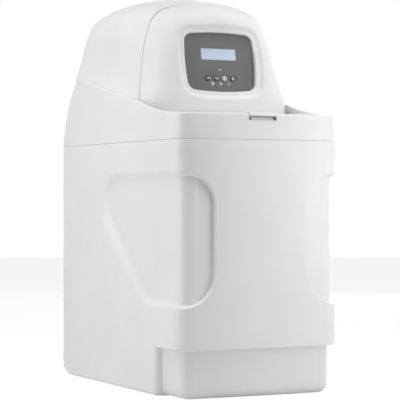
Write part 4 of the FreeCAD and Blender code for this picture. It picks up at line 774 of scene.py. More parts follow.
class SoftenerSizes(bpy.types.PropertyGroup):
    """Softness of the moulded edges, and the thread on the pipe tails"""

    recess_crisp: length_setting("Crisp edge", "Width of the recess wall at its front end", 0.0026, 0.001)
    recess_soft: length_setting("Soft edge", "Width of the recess wall at its back", 0.015, 0.004)
    rim_height: length_setting("Rim rounding", "Height of the rounded top of the skirt", 0.0046, 0.0005)
    surround: length_setting("Surround", "Width of the soft dip round the display panel", 0.0112, 0.004)
    thread_count: IntProperty(name="Thread rings", description="Rings on each pipe tail", default=9, min=1)
    thread_wire: length_setting("Thread wire", "Half thickness of a thread ring", 0.0006, 0.0002)


class SOFTENER_OT_finishes(bpy.types.Operator):
    """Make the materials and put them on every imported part"""

    bl_idname = "softener.finishes"
    bl_label = "Finishes"

    def execute(self, context):
        Finishes.build(context.scene.softener_finish)
        for part in frame["record"]["subparts"]:
            data = frame["nodes"][part["node"]].data
            data.materials.clear()
            data.materials.append(Finishes.made[part["material_slot"]])
        return {"FINISHED"}


def recess_outline():
    """The D-shaped recess unrolled round the corner: distance from the front's middle, and height."""
    return rounded_loop([(RECESS_FRONT, RECESS_TOP, RECESS_TOP_R), (RECESS_BACK, RECESS_TOP, RECESS_TOP_R),
                         (RECESS_BACK, SLOPE_END, SLOPE_END_R), (SLOPE_START, RECESS_LOW, SLOPE_START_R),
                         (RECESS_FRONT, RECESS_LOW, RECESS_FLOOR_R)])


def recess_amount(s, z, crisp, soft, grow=0.0):
    """0 outside the recess, 1 on its floor; crisp at the front end, soft at the back."""
    d = depth_inside(recess_outline(), np.abs(s), z) + grow
    width = crisp + (soft - crisp) * smoothstep(*RECESS_SOFTENS, np.abs(s))
    return smoothstep(-0.35 * width, 0.65 * width, d)


def cabinet_skin(s, z, inset, crisp, soft):
    """Points of the cabinet's wall at distance s round it and height z, drawn in by inset."""
    base, inward = Footprint.at(s)
    d = np.abs(s)
    # the notch behind the foot, with its rounded front edge
    foot_s = Footprint.front + Footprint.corner + FOOT_BACK + HALF_Y - FRONT_R + inset
    behind = np.clip(d - foot_s, 0, FOOT_EDGE)
    edge = FOOT_EDGE - np.sqrt(FOOT_EDGE ** 2 - (FOOT_EDGE - behind) ** 2)
    notch = edge + (FOOT_INSET - edge) * smoothstep(*(foot_s + w for w in FOOT_WALL), d)
    foot = smoothstep(*(FOOT_TOP + inset + w for w in FOOT_LEDGE), z) * notch
    draw = inset + RECESS_DEPTH * recess_amount(s, z, crisp, soft, inset * 0.7) + foot
    # the rounded edge of the underside, smaller past the notch
    rim = TOE_R + (SIDE_FOOT_R - TOE_R) * smoothstep(*SIDE_FOOT, d)
    low = np.clip(rim - (z - inset), 0, rim)
    draw = draw + rim - np.sqrt(rim ** 2 - low ** 2)
    x = base[..., 0] + inward[..., 0] * draw
    y = base[..., 1] + inward[..., 1] * draw
    # the back's large rounded heel, blended into the side
    reach = HEEL_R - inset
    drop = np.clip(HEEL_R - z, 0, reach)
    heel = HALF_Y - HEEL_R + np.sqrt(reach ** 2 - drop ** 2)
    gap = heel - y
    blend = heel - np.clip(gap, 0, 2 * HEEL_BLEND) ** 2 / (4 * HEEL_BLEND)
    y = np.minimum(np.where(gap < HEEL_BLEND, blend, y), heel)
    in_pocket = (x > POCKET_X[0] - inset) & (x < POCKET_X[1] + inset) & (z > POCKET_Z - inset) & (y > 0)
    y = np.where(in_pocket, np.minimum(y, POCKET_Y - inset), y)
    return np.stack([x, y, z], -1)


def pocket_columns(inset, half_edge=0.12):
    """Columns on both edges of the overflow pocket, left of the back's middle."""
    out = []
    for x in (POCKET_X[0] - inset, POCKET_X[1] + inset):
        for shift in (-half_edge, half_edge):
            across = abs(x + shift)
            if across < HALF_X - REAR_R:
                out.append(-(Footprint.half - across))
            else:
                angle = math.acos((across - HALF_X + REAR_R) / REAR_R)
                out.append(-(Footprint.half - HALF_X + REAR_R - Footprint.heel + angle * REAR_R))
    return out


def cabinet_mesh(crisp, soft):
    """The cabinet's outer and inner walls, joined over the rim; rows and columns lie close at each edge."""
    half = Footprint.half
    rear = half - HALF_X + REAR_R
    heel = rear - Footprint.heel
    right = steps((0, 60, 12), (60, 72, 4), (72, 82, 0.5), (82, 124, 1.2), (124, 204, 3), (204, 210, 0.6),
                  (210, 219, 1.1), (219, 300, 4.2), (300, 418, 3.2), (418, heel, 16), (heel, rear, 4.0),
                  (rear, half, 13))
    columns = merged(right, -right[1:-1], pocket_columns(0))
    rows = steps((0, 6, 1.0), (6, 14, 2), (14, 66, 10), (66, 75, 0.9), (75, 126, 8), (126, 166, 1.2),
                 (166, 286, 4), (286, 336, 1.2), (336, SEAM_Z - 0.9, 9))
    rows = merged(rows, (POCKET_Z - 0.1, POCKET_Z + 0.1))
    outer = cabinet_skin(*np.meshgrid(columns, rows), 0.0, crisp, soft)
    lip = [cabinet_skin(*np.meshgrid(columns, [height]), draw, crisp, soft)
           for height, draw in ((SEAM_Z - 0.35, 0.25), (SEAM_Z, 1.6), (SEAM_Z, WALL))]
    inner_columns = merged(steps((-half, half, 9))[1:], pocket_columns(WALL))
    inner_rows = steps((WALL, WALL + 6, 2), (WALL + 6, 70, 12), (70, 80, 2.5), (80, 124, 11), (124, 340, 7),
                       (340, SEAM_Z, 13))
    inner_rows = merged(inner_rows, (POCKET_Z - WALL - 0.1, POCKET_Z - WALL + 0.1))
    inner = cabinet_skin(*np.meshgrid(inner_columns, inner_rows), WALL, crisp, soft)
    shell = Shell()
    shell.grid(np.concatenate([outer] + lip), wrap=True)
    shell.fan(outer[0], (*BOTTOM, 0), flip=True)
    shell.grid(inner, wrap=True, flip=True)
    shell.fan(inner[0], (*BOTTOM, WALL))
    return shell.mesh("brine_cabinet_shell")


class SOFTENER_OT_cabinet(bpy.types.Operator):
    """Mould the brine cabinet: stepped foot, rounded heel and the soft D-shaped recesses"""

    bl_idname = "softener.cabinet"
    bl_label = "Brine cabinet"

    def execute(self, context):
        sizes = context.scene.softener_sizes
        data = cabinet_mesh(sizes.recess_crisp / MM, sizes.recess_soft / MM)
        place("brine_cabinet_shell", data, "base", Finishes.made["cabinet_white"],
              ["brine_cabinet"])
        return {"FINISHED"}


def whole_arch(outline):
    """An arch's right half and its mirror image as one line, from foot to foot."""
    return np.concatenate([outline, (outline * (-1, 1))[-2::-1]])


def arch_outline(rise, side_in, top_in, foot, count=60):
    """Right half of the hood's arch from its foot up to the middle, as (x, z), evenly spaced and eased."""
    x, z, side, top, lift = ARCH.T
    upper = np.stack([x - side_in * side, z + rise * lift - top_in * top], -1)
    lean = (WAIST_X - x[0]) * max(0.0, foot - WAIST_Z) / (upper[0, 1] - WAIST_Z)
    waist = WAIST_X - lean - side_in
    full = whole_arch(np.concatenate([[(waist, foot), (waist, max(WAIST_Z, foot + 0.5))], upper]))
    run = np.concatenate([[0], np.cumsum(np.linalg.norm(np.diff(full, axis=0), axis=1))])
    cells = 8 * count
    even = np.linspace(0, run[-1], cells + 1)
    dense = np.stack([np.interp(even, run, full[:, k]) for k in (0, 1)], -1)
    ease = FACE_EASE if side_in > 30 else ARCH_EASE
    reach = max(1, int(ease / (run[-1] / cells)))
    taps = np.arange(-reach, reach + 1)
    weights = np.cos(taps / (reach + 1) * math.pi / 2) ** 2
    places = np.arange(cells + 1)
    index = np.clip(places[:, None] + taps[None], 0, cells)
    eased = (dense[index] * weights[None, :, None]).sum(1) / weights.sum()
    # the two feet stay where they are
    guard = np.clip(np.minimum(places, cells - places) / (2.0 * reach), 0, 1)[:, None]
    eased = eased * guard + dense * (1 - guard)
    return eased[:4 * count + 1:4]


def flared(x, y, z, reach=FLARE):
    """The dome's section with its foot eased outwards to the skirt's rounded rim."""
    near = np.clip(1 - (z - crease(y)) / FLARE_HEIGHT, 0, 1) ** 2
    return np.stack([x + np.sign(x) * reach * near, y, z], -1)


def dome_mesh():
    """The dome: sections from the joint to the rear, then its rounded rear and the closing wall."""
    sections = []
    for t in steps((0, 1, 0.05)):
        y = JOINT_Y + (REAR_START - JOINT_Y) * t
        foot = float(crease(y)) - DOME_SINK - FRONT_SINK * (1 - t)
        arch = whole_arch(arch_outline(float(rise_at(y)), 0.0, 0.0, foot))
        start = joint_y(arch[:, 1])
        reach = FLARE * float(smoothstep(0, 0.2, t))
        sections.append(flared(arch[:, 0], start + t * (REAR_START - start), arch[:, 1], reach))
    for turn in np.linspace(0, 90, 9)[1:]:
        a = math.radians(turn)
        draw = REAR_DRAW * (1 - math.cos(a))
        y = REAR_START + (REAR_Y - REAR_START) * math.sin(a)
        foot = float(crease(y)) - DOME_SINK
        arch = whole_arch(arch_outline(float(rise_at(REAR_START)), draw, draw, foot))
        sections.append(flared(arch[:, 0], np.full(len(arch), y), arch[:, 1]))
    last = sections[-1]
    low = last[0, 2]
    cap = [last]
    for share in (0.75, 0.5, 0.25, 0.0):
        ring = last.copy()
        ring[:, 0] *= share
        ring[:, 2] = low + (last[:, 2] - low) * share
        cap.append(ring)
    shell = Shell()
    shell.grid(np.array(sections))
    shell.grid(np.array(cap))
    return walled(shell.mesh("dome"), DOME_WALL)


def joint_strip():
    """The strip that backs the groove between the dome and the hood's front."""
    foot = float(crease(JOINT_Y)) - DOME_SINK - FRONT_SINK
    arch = whole_arch(arch_outline(0.0, STRIP_INSET, STRIP_INSET, foot))
    middle = joint_y(arch[:, 1])
    shell = Shell()
    shell.grid(np.array([np.stack([arch[:, 0], middle + shift, arch[:, 1]], -1) for shift in STRIP_Y]))
    return walled(shell.mesh("joint_strip"), STRIP_WALL)


def skirt_mesh(rim_height):
    """The cover's skirt with its rounded rim, the ledge round the dome and the scoop in the front band."""
    half = Footprint.half
    rear = half - HALF_X + REAR_R
    heel, slot = rear - Footprint.heel, half - SLOT_X
    side = steps((0, TAB_X - 0.1, 4), (TAB_X + 0.1, 100, 8), (100, 156, 3.2), (156, heel, 8), (heel, rear, 4),
                 (rear, slot - 0.1, 9), (slot + 0.1, half, 10))
    columns = merged(side, -side[1:-1])
    base, inward = Footprint.at(columns)
    in_scoop = np.abs(columns) < TAB_X
    in_slot = np.abs(columns) > slot
    top = np.where(in_scoop, SCOOP_LOW, crease(base[:, 1] + inward[:, 1] * 8.0))
    low = np.where(in_slot, SLOT_Z, SEAM_Z)
    rounding = np.where(in_scoop, 0.5, rim_height)
    rim_base = top - rounding
    rows = []

    def row(z, pull):
        pull = pull + corner_lean(columns, z)
        rows.append(np.stack([base[:, 0] + inward[:, 0] * pull, base[:, 1] + inward[:, 1] * pull, z], -1))

    row(low, lean_in(low) + 1.6)
    row(low + 0.35, lean_in(low) + 0.25)
    for t in np.concatenate([[0.0, 0.02], np.linspace(0.06, 1, 16)]):
        z = low + 0.5 + (rim_base - low - 0.5) * t
        row(z, lean_in(z))
    # behind the hood's joint the rim is a ledge that meets the dome; before it, it drops to the deck
    behind = smoothstep(JOINT_Y - JOINT_FORWARD - 4, JOINT_Y - JOINT_FORWARD + 3, base[:, 1])
    across = np.where(in_scoop, 0.5, RIM_ACROSS + LEDGE_ACROSS * behind)
    for turn in (18, 36, 54, 72, 90):
        a = math.radians(turn)
        row(rim_base + rounding * math.sin(a), lean_in(rim_base) + across * (1 - math.cos(a)))
    inner = lean_in(rim_base) + RIM + behind
    drop = (1 - behind) * (top - DECK_TOP + 4.0)
    row(top - 0.1, inner - 0.4)
    row(top - 0.6, inner)
    row(top - 0.8 * behind - drop * 0.5, inner + (LEDGE - 1.0) * behind)
    row(top - LEDGE * behind - drop, inner + LEDGE * behind)
    shell = Shell()
    shell.grid(np.array(rows), wrap=True)
    return walled(shell.mesh("skirt", merge=0.005), SKIRT_WALL, -1.0)


def bar(x0, x1, section):
    """A straight bar along X with the given (y, z) section."""
    ends = [np.array([(x, y, z) for y, z in section]) for x in (x0, x1)]
    shell = Shell()
    shell.grid(np.array(ends), wrap=True)
    for end in ends:
        shell.fan(end, end.mean(0))
    return shell.mesh("bar", recalc=True)


def scoop_mesh():
    """The finger scoop's sloping floor and its two cheeks, under the salt lid's tab."""
    low = SCOOP_LOW - 5.0
    front = -HALF_Y + 2.2
    cheek = front + 1.2
    floor = [(front, SCOOP_LOW - 0.2), (SCOOP_BACK, SCOOP_LOW - 0.2), (SCOOP_BACK, low), (front, low)]
    slope = [(front - 1.2, SCOOP_LOW - 0.3), (front + 0.8, SCOOP_LOW + 1.4), (front + 3.6, TAB_LOW - 1.7),
             (front + 5.6, TAB_LOW - 1.0), (SCOOP_BACK, TAB_LOW - 1.0), (SCOOP_BACK, low + 1)]
    parts = [bar(-TAB_X - 0.5, TAB_X + 0.5, floor), bar(-SCOOP_SLOPE_X, SCOOP_SLOPE_X, slope)]
    for side in (-1, 1):
        parts.append(bar(side * TAB_X, side * (TAB_X + 7.0),
                         [(cheek, low), (cheek, TAB_LOW), (SCOOP_BACK, TAB_LOW), (SCOOP_BACK, low)]))
    return parts


def flat_deck():
    """The deck under the salt lid, with its opening."""
    side = round(Footprint.front + Footprint.corner, 1)
    s = steps((0, Footprint.front, 12), (Footprint.front, side, 5), (side, 300, 20))
    s = s[s < side + DECK_RUN]
    base, inward = Footprint.at(np.concatenate([s[::-1], -s[1:]]))
    rim = base + inward * (float(lean_in(DECK_TOP)) + RIM - 0.3)
    front, back = OPENING_Y
    opening = [(-OPENING_X, front), (OPENING_X, front), (OPENING_X, back), (-OPENING_X, back)]
    bm = bmesh.new()
    for loop in (rim, opening):
        verts = [bm.verts.new((x * MM, y * MM, DECK_TOP * MM)) for x, y in loop]
        for a, b in zip(verts, verts[1:] + verts[:1]):
            bm.edges.new((a, b))
    bmesh.ops.triangle_fill(bm, use_beauty=True, edges=bm.edges[:])
    for f in bm.faces:
        if f.normal.z < 0:
            f.normal_flip()
    data = bpy.data.meshes.new("deck")
    bm.to_mesh(data)
    bm.free()
    return walled(data, DECK_WALL, -1.0)


def locating_lip():
    """The lip that drops from the cover into the cabinet's mouth."""
    end = Footprint.half - SLOT_X
    base, inward = Footprint.at(steps((-end, end, 7)))
    top, foot, inside = SEAM_Z + LIP_UP, SEAM_Z - LIP_DROP, LIP_IN + LIP_WALL
    profile = ((LIP_IN, top), (LIP_IN, foot + 0.6), (LIP_IN + 0.4, foot), (inside - 0.4, foot),
               (inside, foot + 0.6), (inside, top))
    rows = [np.concatenate([base + inward * draw, np.full((len(base), 1), z)], -1) for draw, z in profile]
    shell = Shell()
    shell.grid(np.array(rows + rows[:1]), flip=True)
    return shell.mesh("lip", recalc=True)


def hinge_blocks():
    """The pairs of blocks on the deck that carry the lid's pins."""
    return [box_mesh(x, x + HINGE_WIDTH, *HINGE_Y, DECK_TOP - 0.5, HINGE_TOP, 1.2)
            for side in (-HINGE_X, HINGE_X)
            for x in (side - HINGE_GAP - HINGE_WIDTH, side + HINGE_GAP)]


class SOFTENER_OT_cover(bpy.types.Operator):
    """Mould the cover: leaning skirt with its rising rim, deck and dome"""

    bl_idname = "softener.cover"
    bl_label = "Top cover"

    def execute(self, context):
        sizes = context.scene.softener_sizes
        data = joined("top_cover_shell", [dome_mesh(), joint_strip(), skirt_mesh(sizes.rim_height / MM)]
                      + scoop_mesh() + [flat_deck(), locating_lip()] + hinge_blocks())
        place("top_cover_shell", data, "cover", Finishes.made["cover_white"], ["top_cover"])
        return {"FINISHED"}


def panel_outline(grow):
    """The display panel's barrel shape, as (x, along the slope)."""
    w, h, r = PANEL_W + grow, PANEL_H + grow, PANEL_R + grow
    points = []
    for sx, sy, a0 in ((1, -1, -90), (1, 1, 0), (-1, 1, 90), (-1, -1, 180)):
        for t in np.linspace(0, 90, 16):
            a = math.radians(a0 + t)
            points.append((sx * (w - r) + r * math.cos(a), sy * (h - r) + r * math.sin(a)))
    points = evenly(np.array(points), 1.2)
    x = points[:, 0] * (1 - PANEL_BULGE / w * (points[:, 1] / h) ** 2)
    y = points[:, 1] * (1 - PANEL_BULGE / h * (points[:, 0] / w) ** 2)
    return np.stack([x, y], -1)


def evenly(loop, step):
    """A closed outline with its straight runs split into short steps."""
    out = []
    for a, b in zip(loop, np.roll(loop, -1, 0)):
        count = max(1, int(np.hypot(*(b - a)) / step))
        out += [a + (b - a) * k / count for k in range(count)]
    return np.array(out)


def reach_of(loop, angles):
    """How far a closed outline lies from the hood's middle in each direction."""
    v = loop - HOOD_MIDDLE
    a = np.arctan2(v[:, 1], v[:, 0])
    order = np.argsort(a)
    a = a[order]
    r = np.hypot(v[:, 0], v[:, 1])[order]
    return np.interp(angles, np.concatenate([a - 2 * math.pi, a, a + 2 * math.pi]), np.tile(r, 3))


def hood_table(angles, shares):
    """Reach of the hood's front outline in each direction, for each share of its rounding."""
    table = []
    for share in shares:
        floor = DECK_TOP + 0.3 + CHIN * share
        arch = whole_arch(arch_outline(0.0, HOOD_WALL + CORNER * share, HOOD_WALL + BROW * share, floor))
        bottom = np.linspace(arch[-1], arch[0], 40)[1:-1]
        table.append(reach_of(np.concatenate([arch, bottom]), angles))
    return np.array(table)


def dip_wall(t):
    """The soft dip's profile: 1 at the panel, 0 at the face, straight between two rounded ends."""
    foot, rim, scale = 0.3, 0.85, 0.51
    straight = (2 * foot * t - foot ** 2) / scale
    return 1 - np.where(t < foot, t ** 2 / scale, np.where(t < rim, straight, 1 - (1 - t) ** 2 * 2 / scale))


def hood_mesh(surround):
    """The hood's front: a leaning face rounded back to the joint, with a soft dip round the panel."""
    angles = np.linspace(-math.pi, math.pi, 220, endpoint=False)
    shares = 1 - np.cos(np.linspace(0, math.pi / 2, 22))
    table = hood_table(angles, shares)
    outline = panel_outline(PANEL_GAP)
    flat = np.stack([outline[:, 0], FACE_Z + outline[:, 1] * math.cos(LEAN)], -1)
    inner = reach_of(flat, angles)
    gaps = np.concatenate([[0, 0.5, 1.2, 2.4, 3.6], np.arange(4.4, surround + 3, 0.8)])
    start = inner + gaps[-1]
    rings = [inner + gap for gap in gaps]
    rings += [start + (table[0] - start) * (1 - (1 - t) ** 1.6)
              for t in 1 - np.cos(np.linspace(0, math.pi / 2, 26))[1:]]
    direction = np.stack([np.cos(angles), np.sin(angles)], -1)
    ledge = SURROUND_LEDGE * surround
    rows = []
    for r in rings:
        x, z = (HOOD_MIDDLE + direction * r[:, None]).T
        share = np.array([np.interp(-r[i], -table[:, i], shares) for i in range(len(r))])
        ahead = np.sqrt(np.clip(1 - (1 - share) ** 2, 0, 1))
        end = np.minimum(joint_y(z) - joint_gap(z), JOINT_Y)
        y = end + (FACE_Y + (z - FACE_Z) * math.tan(LEAN) - end) * ahead
        away = -depth_inside(outline, x, (z - FACE_Z) / math.cos(LEAN))
        dip = dip_wall(np.clip((away - ledge) / (surround - ledge), 0, 1))
        rows.append(np.stack([x, y + SURROUND_DEPTH * dip, z], -1))
    seat = rows[0] + (0, SEAT_DEPTH, 0)
    x, y, z = rows[-1].T
    back = np.maximum(joint_y(z) - joint_gap(z) - y, 0)
    tail = [np.stack([x, y + back * t, z], -1) for t in (0.5, 1.0)]
    shell = Shell()
    shell.grid(np.array([seat] + rows + tail), wrap=True)
    return walled(shell.mesh("hood_front_shell"), HOOD_WALL, -1.0)


class SOFTENER_OT_hood(bpy.types.Operator):
    """Mould the hood's front with the soft surround of its display panel"""

    bl_idname = "softener.hood"
    bl_label = "Hood front"

    def execute(self, context):
        data = hood_mesh(context.scene.softener_sizes.surround / MM)
        place("hood_front_shell", data, "cover", Finishes.made["hood_white"], ["hood_front"])
        return {"FINISHED"}


class SOFTENER_OT_lid(bpy.types.Operator):
    """Mould the salt lid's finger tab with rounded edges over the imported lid"""

    bl_idname = "softener.lid"
    bl_label = "Salt lid"

    def execute(self, context):
        face, back, half = -HALF_Y - 0.2, -HALF_Y + TAB_RUN, TAB_X - TAB_GAP
        tab = bar(-half, half, [(face, TAB_LOW), (face - 0.2, TAB_LOW + 1.1), (face + 1.8, TAB_TOP),
                                (back, TAB_TOP), (back, TAB_LOW)])
        tab = evaluated(tab, ("BEVEL", {"width": TAB_EDGE * MM, "segments": 3, "limit_method": "ANGLE"}))
        place("salt_lid_tab", tab, "lid", Finishes.made["lid_white"])
        return {"FINISHED"}


def dash(middle, a, b, out, width):
    """A raised line on the panel's plane from a to b, both given from a middle point."""
    run = math.hypot(b[0] - a[0], b[1] - a[1])
    ux, uy = (b[0] - a[0]) / run, (b[1] - a[1]) / run
    half = width / 2

    def turn(x, y, z):
        return on_face(middle[0] + a[0] + x * ux - y * uy, middle[1] + a[1] + x * uy + y * ux, out + z)

    return box_mesh(-half, run + half, -half, half, 0, MARK_THICK, 0.08, turn)


def disc(x, along, out, radius, hole, edge=0.05, segments=32):
    """A flat round mark on the panel's plane, or a ring where it has a hole."""
    def ring(r, z):
        return np.array([on_face(x + r * math.cos(t), along + r * math.sin(t), out + z)
                         for t in np.linspace(0, 2 * math.pi, segments, endpoint=False)])

    outside = [ring(radius, 0), ring(radius, MARK_THICK - edge), ring(radius - edge, MARK_THICK)]
    shell = Shell()
    if hole:
        inside = [ring(hole, 0), ring(hole, MARK_THICK)]
        shell.grid(np.array(inside + outside[::-1] + inside[:1]), wrap=True)
    else:
        shell.grid(np.array(outside), wrap=True)
        shell.fan(outside[-1], on_face(x, along, out + MARK_THICK))
        shell.fan(outside[0], on_face(x, along, out), flip=True)
    return shell.mesh("disc", merge=0.001, recalc=True)


class SOFTENER_OT_marks(bpy.types.Operator):
    """Print the plain marks on the keys and the row of lamps under them"""

    bl_idname = "softener.marks"
    bl_label = "Key marks"

    def execute(self, context):
        white = Finishes.made["mark_white"]
        top = KEY_TOP - PANEL_SINK
        for key, across, width, lines in MARKS:
            dashes = [dash((across, KEY_LINE), a, b, top, width)
                      for line in lines for a, b in zip(line, line[1:])]
            slot = "key_dark" if key == "ok" else "key_white"
            material = Finishes.made[slot] if key == "ok" else white
            place(key + "_mark", joined("mark", dashes), "key_" + key, material)
        flat = -PANEL_SINK - 0.02
        lamps = joined("lamps", [disc(across, LAMP_LINE, flat, radius, hole)
                                 for across, radius, hole in LAMP_MARKS])
        place("lamp_marks", lamps, "cover", white)
        return {"FINISHED"}


def thread_tree():
    """Node tree: rings in a row along Y, each a round wire bent to a circle."""
    tree = bpy.data.node_groups.new("thread_rings", "GeometryNodeTree")
    face = tree.interface
    face.new_socket("Geometry", in_out="OUTPUT", socket_type="NodeSocketGeometry")
    for name, kind in (("Count", "Int"), ("Radius", "Float"), ("Wire", "Float"), ("Start", "Vector"),
                       ("Pitch", "Vector"), ("Finish", "Material")):
        face.new_socket(name, in_out="INPUT", socket_type="NodeSocket" + kind)

    def add(kind, **settings):
        node = tree.nodes.new(kind)
        for key, value in settings.items():
            setattr(node, key, value)
        return node

    given = add("NodeGroupInput")
    result = add("NodeGroupOutput")
    row = add("GeometryNodeMeshLine", mode="OFFSET")
    ring = add("GeometryNodeCurvePrimitiveCircle")
    wire = add("GeometryNodeCurvePrimitiveCircle")
    tube = add("GeometryNodeCurveToMesh")
    copies = add("GeometryNodeInstanceOnPoints")
    real = add("GeometryNodeRealizeInstances")
    shade = add("GeometryNodeSetShadeSmooth")
    finish = add("GeometryNodeSetMaterial")
    ring.inputs["Resolution"].default_value = 48
    wire.inputs["Resolution"].default_value = 6
    copies.inputs["Rotation"].default_value = (math.pi / 2, 0, 0)
    for start, output, end, socket in (
            (given, "Count", row, "Count"), (given, "Start", row, "Start Location"),
            (given, "Pitch", row, "Offset"), (given, "Radius", ring, "Radius"),
            (given, "Wire", wire, "Radius"), (ring, "Curve", tube, "Curve"),
            (wire, "Curve", tube, "Profile Curve"), (row, "Mesh", copies, "Points"),
            (tube, "Mesh", copies, "Instance"), (copies, "Instances", real, "Geometry"),
            (real, "Geometry", shade, "Geometry"), (shade, "Geometry", finish, "Geometry"),
            (given, "Finish", finish, "Material"), (finish, "Geometry", result, 0)):
        tree.links.new(start.outputs[output], end.inputs[socket])
    return tree


def grown(tree, **inputs):
    """The mesh that a node tree makes from the given inputs."""
    obj = bpy.data.objects.new("work", bpy.data.meshes.new("work"))
    bpy.context.scene.collection.objects.link(obj)
    modifier = obj.modifiers.new("Nodes", "NODES")
    modifier.node_group = tree
    for item in tree.interface.items_tree:
        if item.in_out == "INPUT" and item.name in inputs:
            modifier[item.identifier] = inputs[item.name]
    bpy.context.view_layer.update()
    data = bpy.data.meshes.new_from_object(obj.evaluated_get(bpy.context.evaluated_depsgraph_get()))
    obj.modifiers.clear()
    bpy.data.objects.remove(obj)
    return data


class SOFTENER_OT_threads(bpy.types.Operator):
    """Cut the thread rings round both pipe tails at the back"""

    bl_idname = "softener.threads"
    bl_label = "Pipe threads"

    def execute(self, context):
        sizes = context.scene.softener_sizes
        grey = Finishes.made["fitting_grey"]
        tree = thread_tree()
        for name in ("inlet_tail", "outlet_tail"):
            low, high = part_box(name)
            middle = (low + high) / 2
            data = grown(tree, Count=sizes.thread_count, Radius=THREAD_R * MM, Wire=sizes.thread_wire,
                         Start=(middle.x, high.y - THREAD_START * MM, middle.z),
                         Pitch=(0.0, THREAD_RUN * MM / sizes.thread_count, 0.0), Finish=grey)
            place(name + "_thread", data, "base", grey)
        return {"FINISHED"}


# The stage: how bright the world is to light alone, the floor's tone and glow, and how much of the glow shows
WORLD_LIGHT = 0.06
GLOSSY_SHARE = 0.55
FLOOR_R = 6.0
FLOOR_TONE = 0.8
FLOOR_GLOW = 1.12
FLOOR_SHARE = 0.8

# The lamps round the softener, all square: azimuth from the front, elevation, distance, size and power
AIM = Vector((0, 0, 0.32))
LAMPS = (
    ("left_high", -90, 35, 1.1, 0.6, 2.1),
    ("left_low", -90, 5, 1.1, 0.6, 3.4),
    ("left_top", -60, 64, 2.6, 1.4, 25.2),
    ("right_top", 60, 64, 2.6, 1.4, 15.5),
    ("right_high", 30, 35, 1.1, 0.6, 1.6),
    ("right_low", 30, 5, 1.1, 0.6, 1.2),
    ("front_low", 34, 4, 0.75, 0.3, 1.1),
    ("right_side", 90, 35, 1.1, 0.6, 1.5),
    ("back_right", 140, 12, 2.6, 1.4, 11.0),
    ("back_left", -155, 38, 2.6, 1.4, 4.0))

# The camera stands level, to the left of the front, as in the photograph
CAMERA_PLACE = (-1.19494, -2.48291, 0.29033)
CAMERA_AHEAD = Vector((0.4375, 0.8992, 0.0))
FOCAL_PIXELS = 1728.34
FRAME_PIXELS = 400.0
SENSOR = 36.0


def empty_tree(owner):
    """The node tree of a world or material, cleared."""
    owner.use_nodes = True
    owner.node_tree.nodes.clear()
    return owner.node_tree


def rays(tree, *kinds):
    """Light Path's sockets for these kinds of ray."""
    path = tree.nodes.new("ShaderNodeLightPath")
    return [Sock(tree, path.outputs["Is " + kind + " Ray"]) for kind in kinds]


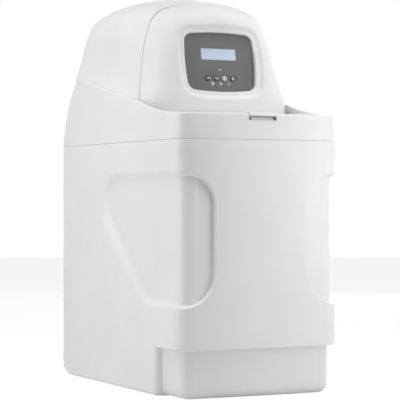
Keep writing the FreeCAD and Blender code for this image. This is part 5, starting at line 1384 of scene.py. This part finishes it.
class SOFTENER_OT_stage(bpy.types.Operator):
    """Set the pale floor, the soft studio lamps and the camera"""

    bl_idname = "softener.stage"
    bl_label = "Stage"

    def execute(self, context):
        scene = context.scene
        scene.view_settings.view_transform = "Standard"
        self.world(scene)
        self.floor(scene)
        self.lamps(scene)
        self.camera(scene)
        return {"FINISHED"}

    def world(self, scene):
        scene.world = bpy.data.worlds.new("studio")
        tree = empty_tree(scene.world)
        camera, glossy, clear = rays(tree, "Camera", "Glossy", "Transmission")
        seen = camera.math("MAXIMUM", glossy * GLOSSY_SHARE).math("MAXIMUM", clear)
        back = tree.nodes.new("ShaderNodeBackground")
        back.inputs["Color"].default_value = (1.0, 1.0, 1.0, 1.0)
        strength = seen * (1.0 - WORLD_LIGHT) + WORLD_LIGHT
        tree.links.new(strength.socket, back.inputs["Strength"])
        out = tree.nodes.new("ShaderNodeOutputWorld")
        tree.links.new(back.outputs[0], out.inputs[0])

    def floor(self, scene):
        bm = bmesh.new()
        bmesh.ops.create_circle(bm, cap_ends=True, radius=FLOOR_R, segments=96)
        data = bpy.data.meshes.new("floor")
        bm.to_mesh(data)
        bm.free()
        floor = bpy.data.objects.new("floor", data)
        scene.collection.objects.link(floor)
        material = bpy.data.materials.new("pale_floor")
        tree = empty_tree(material)
        camera, glossy = rays(tree, "Camera", "Glossy")
        share = camera.math("MAXIMUM", glossy) * FLOOR_SHARE
        pale = tree.nodes.new("ShaderNodeBsdfDiffuse")
        pale.inputs["Color"].default_value = (FLOOR_TONE, FLOOR_TONE, FLOOR_TONE, 1.0)
        glow = tree.nodes.new("ShaderNodeEmission")
        glow.inputs["Color"].default_value = (1.0, 1.0, 1.0, 1.0)
        glow.inputs["Strength"].default_value = FLOOR_GLOW
        blend = tree.nodes.new("ShaderNodeMixShader")
        out = tree.nodes.new("ShaderNodeOutputMaterial")
        for start, end in ((share.socket, blend.inputs[0]), (pale.outputs[0], blend.inputs[1]),
                           (glow.outputs[0], blend.inputs[2]), (blend.outputs[0], out.inputs[0])):
            tree.links.new(start, end)
        data.materials.append(material)

    def lamps(self, scene):
        for name, azimuth, elevation, distance, size, power in LAMPS:
            a, e = math.radians(azimuth), math.radians(elevation)
            away = Vector((math.sin(a) * math.cos(e), -math.cos(a) * math.cos(e), math.sin(e)))
            lamp = bpy.data.lights.new(name, "AREA")
            lamp.shape = "SQUARE"
            lamp.size = size
            lamp.energy = power
            obj = bpy.data.objects.new(name, lamp)
            obj.location = AIM + away * distance
            obj.rotation_euler = (-away).to_track_quat("-Z", "Y").to_euler()
            obj.visible_camera = False
            scene.collection.objects.link(obj)

    def camera(self, scene):
        data = bpy.data.cameras.new("view")
        data.sensor_width = SENSOR
        data.lens = FOCAL_PIXELS / FRAME_PIXELS * SENSOR
        obj = bpy.data.objects.new("view", data)
        obj.location = CAMERA_PLACE
        obj.rotation_euler = CAMERA_AHEAD.to_track_quat("-Z", "Y").to_euler()
        scene.collection.objects.link(obj)
        bpy.context.scene.camera = obj


OPERATORS = (SOFTENER_OT_stage, SOFTENER_OT_finishes, SOFTENER_OT_cabinet, SOFTENER_OT_cover,
             SOFTENER_OT_hood, SOFTENER_OT_lid, SOFTENER_OT_marks, SOFTENER_OT_threads)


class SOFTENER_PT_panel(bpy.types.Panel):
    """Lists the softener's pieces"""

    bl_label = "Water softener"
    bl_idname = "SOFTENER_PT_panel"
    bl_space_type = "VIEW_3D"
    bl_region_type = "UI"
    bl_category = "Softener"

    def draw(self, context):
        for operator in OPERATORS:
            self.layout.operator(operator.bl_idname)
        for group in (context.scene.softener_finish, context.scene.softener_sizes):
            for key in group.__annotations__:
                self.layout.prop(group, key)


CLASSES = (SoftenerFinish, SoftenerSizes) + OPERATORS + (SOFTENER_PT_panel,)


def register():
    for item in CLASSES:
        bpy.utils.register_class(item)
    bpy.types.Scene.softener_finish = PointerProperty(type=SoftenerFinish)
    bpy.types.Scene.softener_sizes = PointerProperty(type=SoftenerSizes)


def unregister():
    del bpy.types.Scene.softener_finish
    del bpy.types.Scene.softener_sizes
    for item in reversed(CLASSES):
        bpy.utils.unregister_class(item)


def main():
    register()
    for operator in OPERATORS:
        group, name = operator.bl_idname.split(".")
        getattr(getattr(bpy.ops, group), name)()


if __name__ == "__main__":
    main()
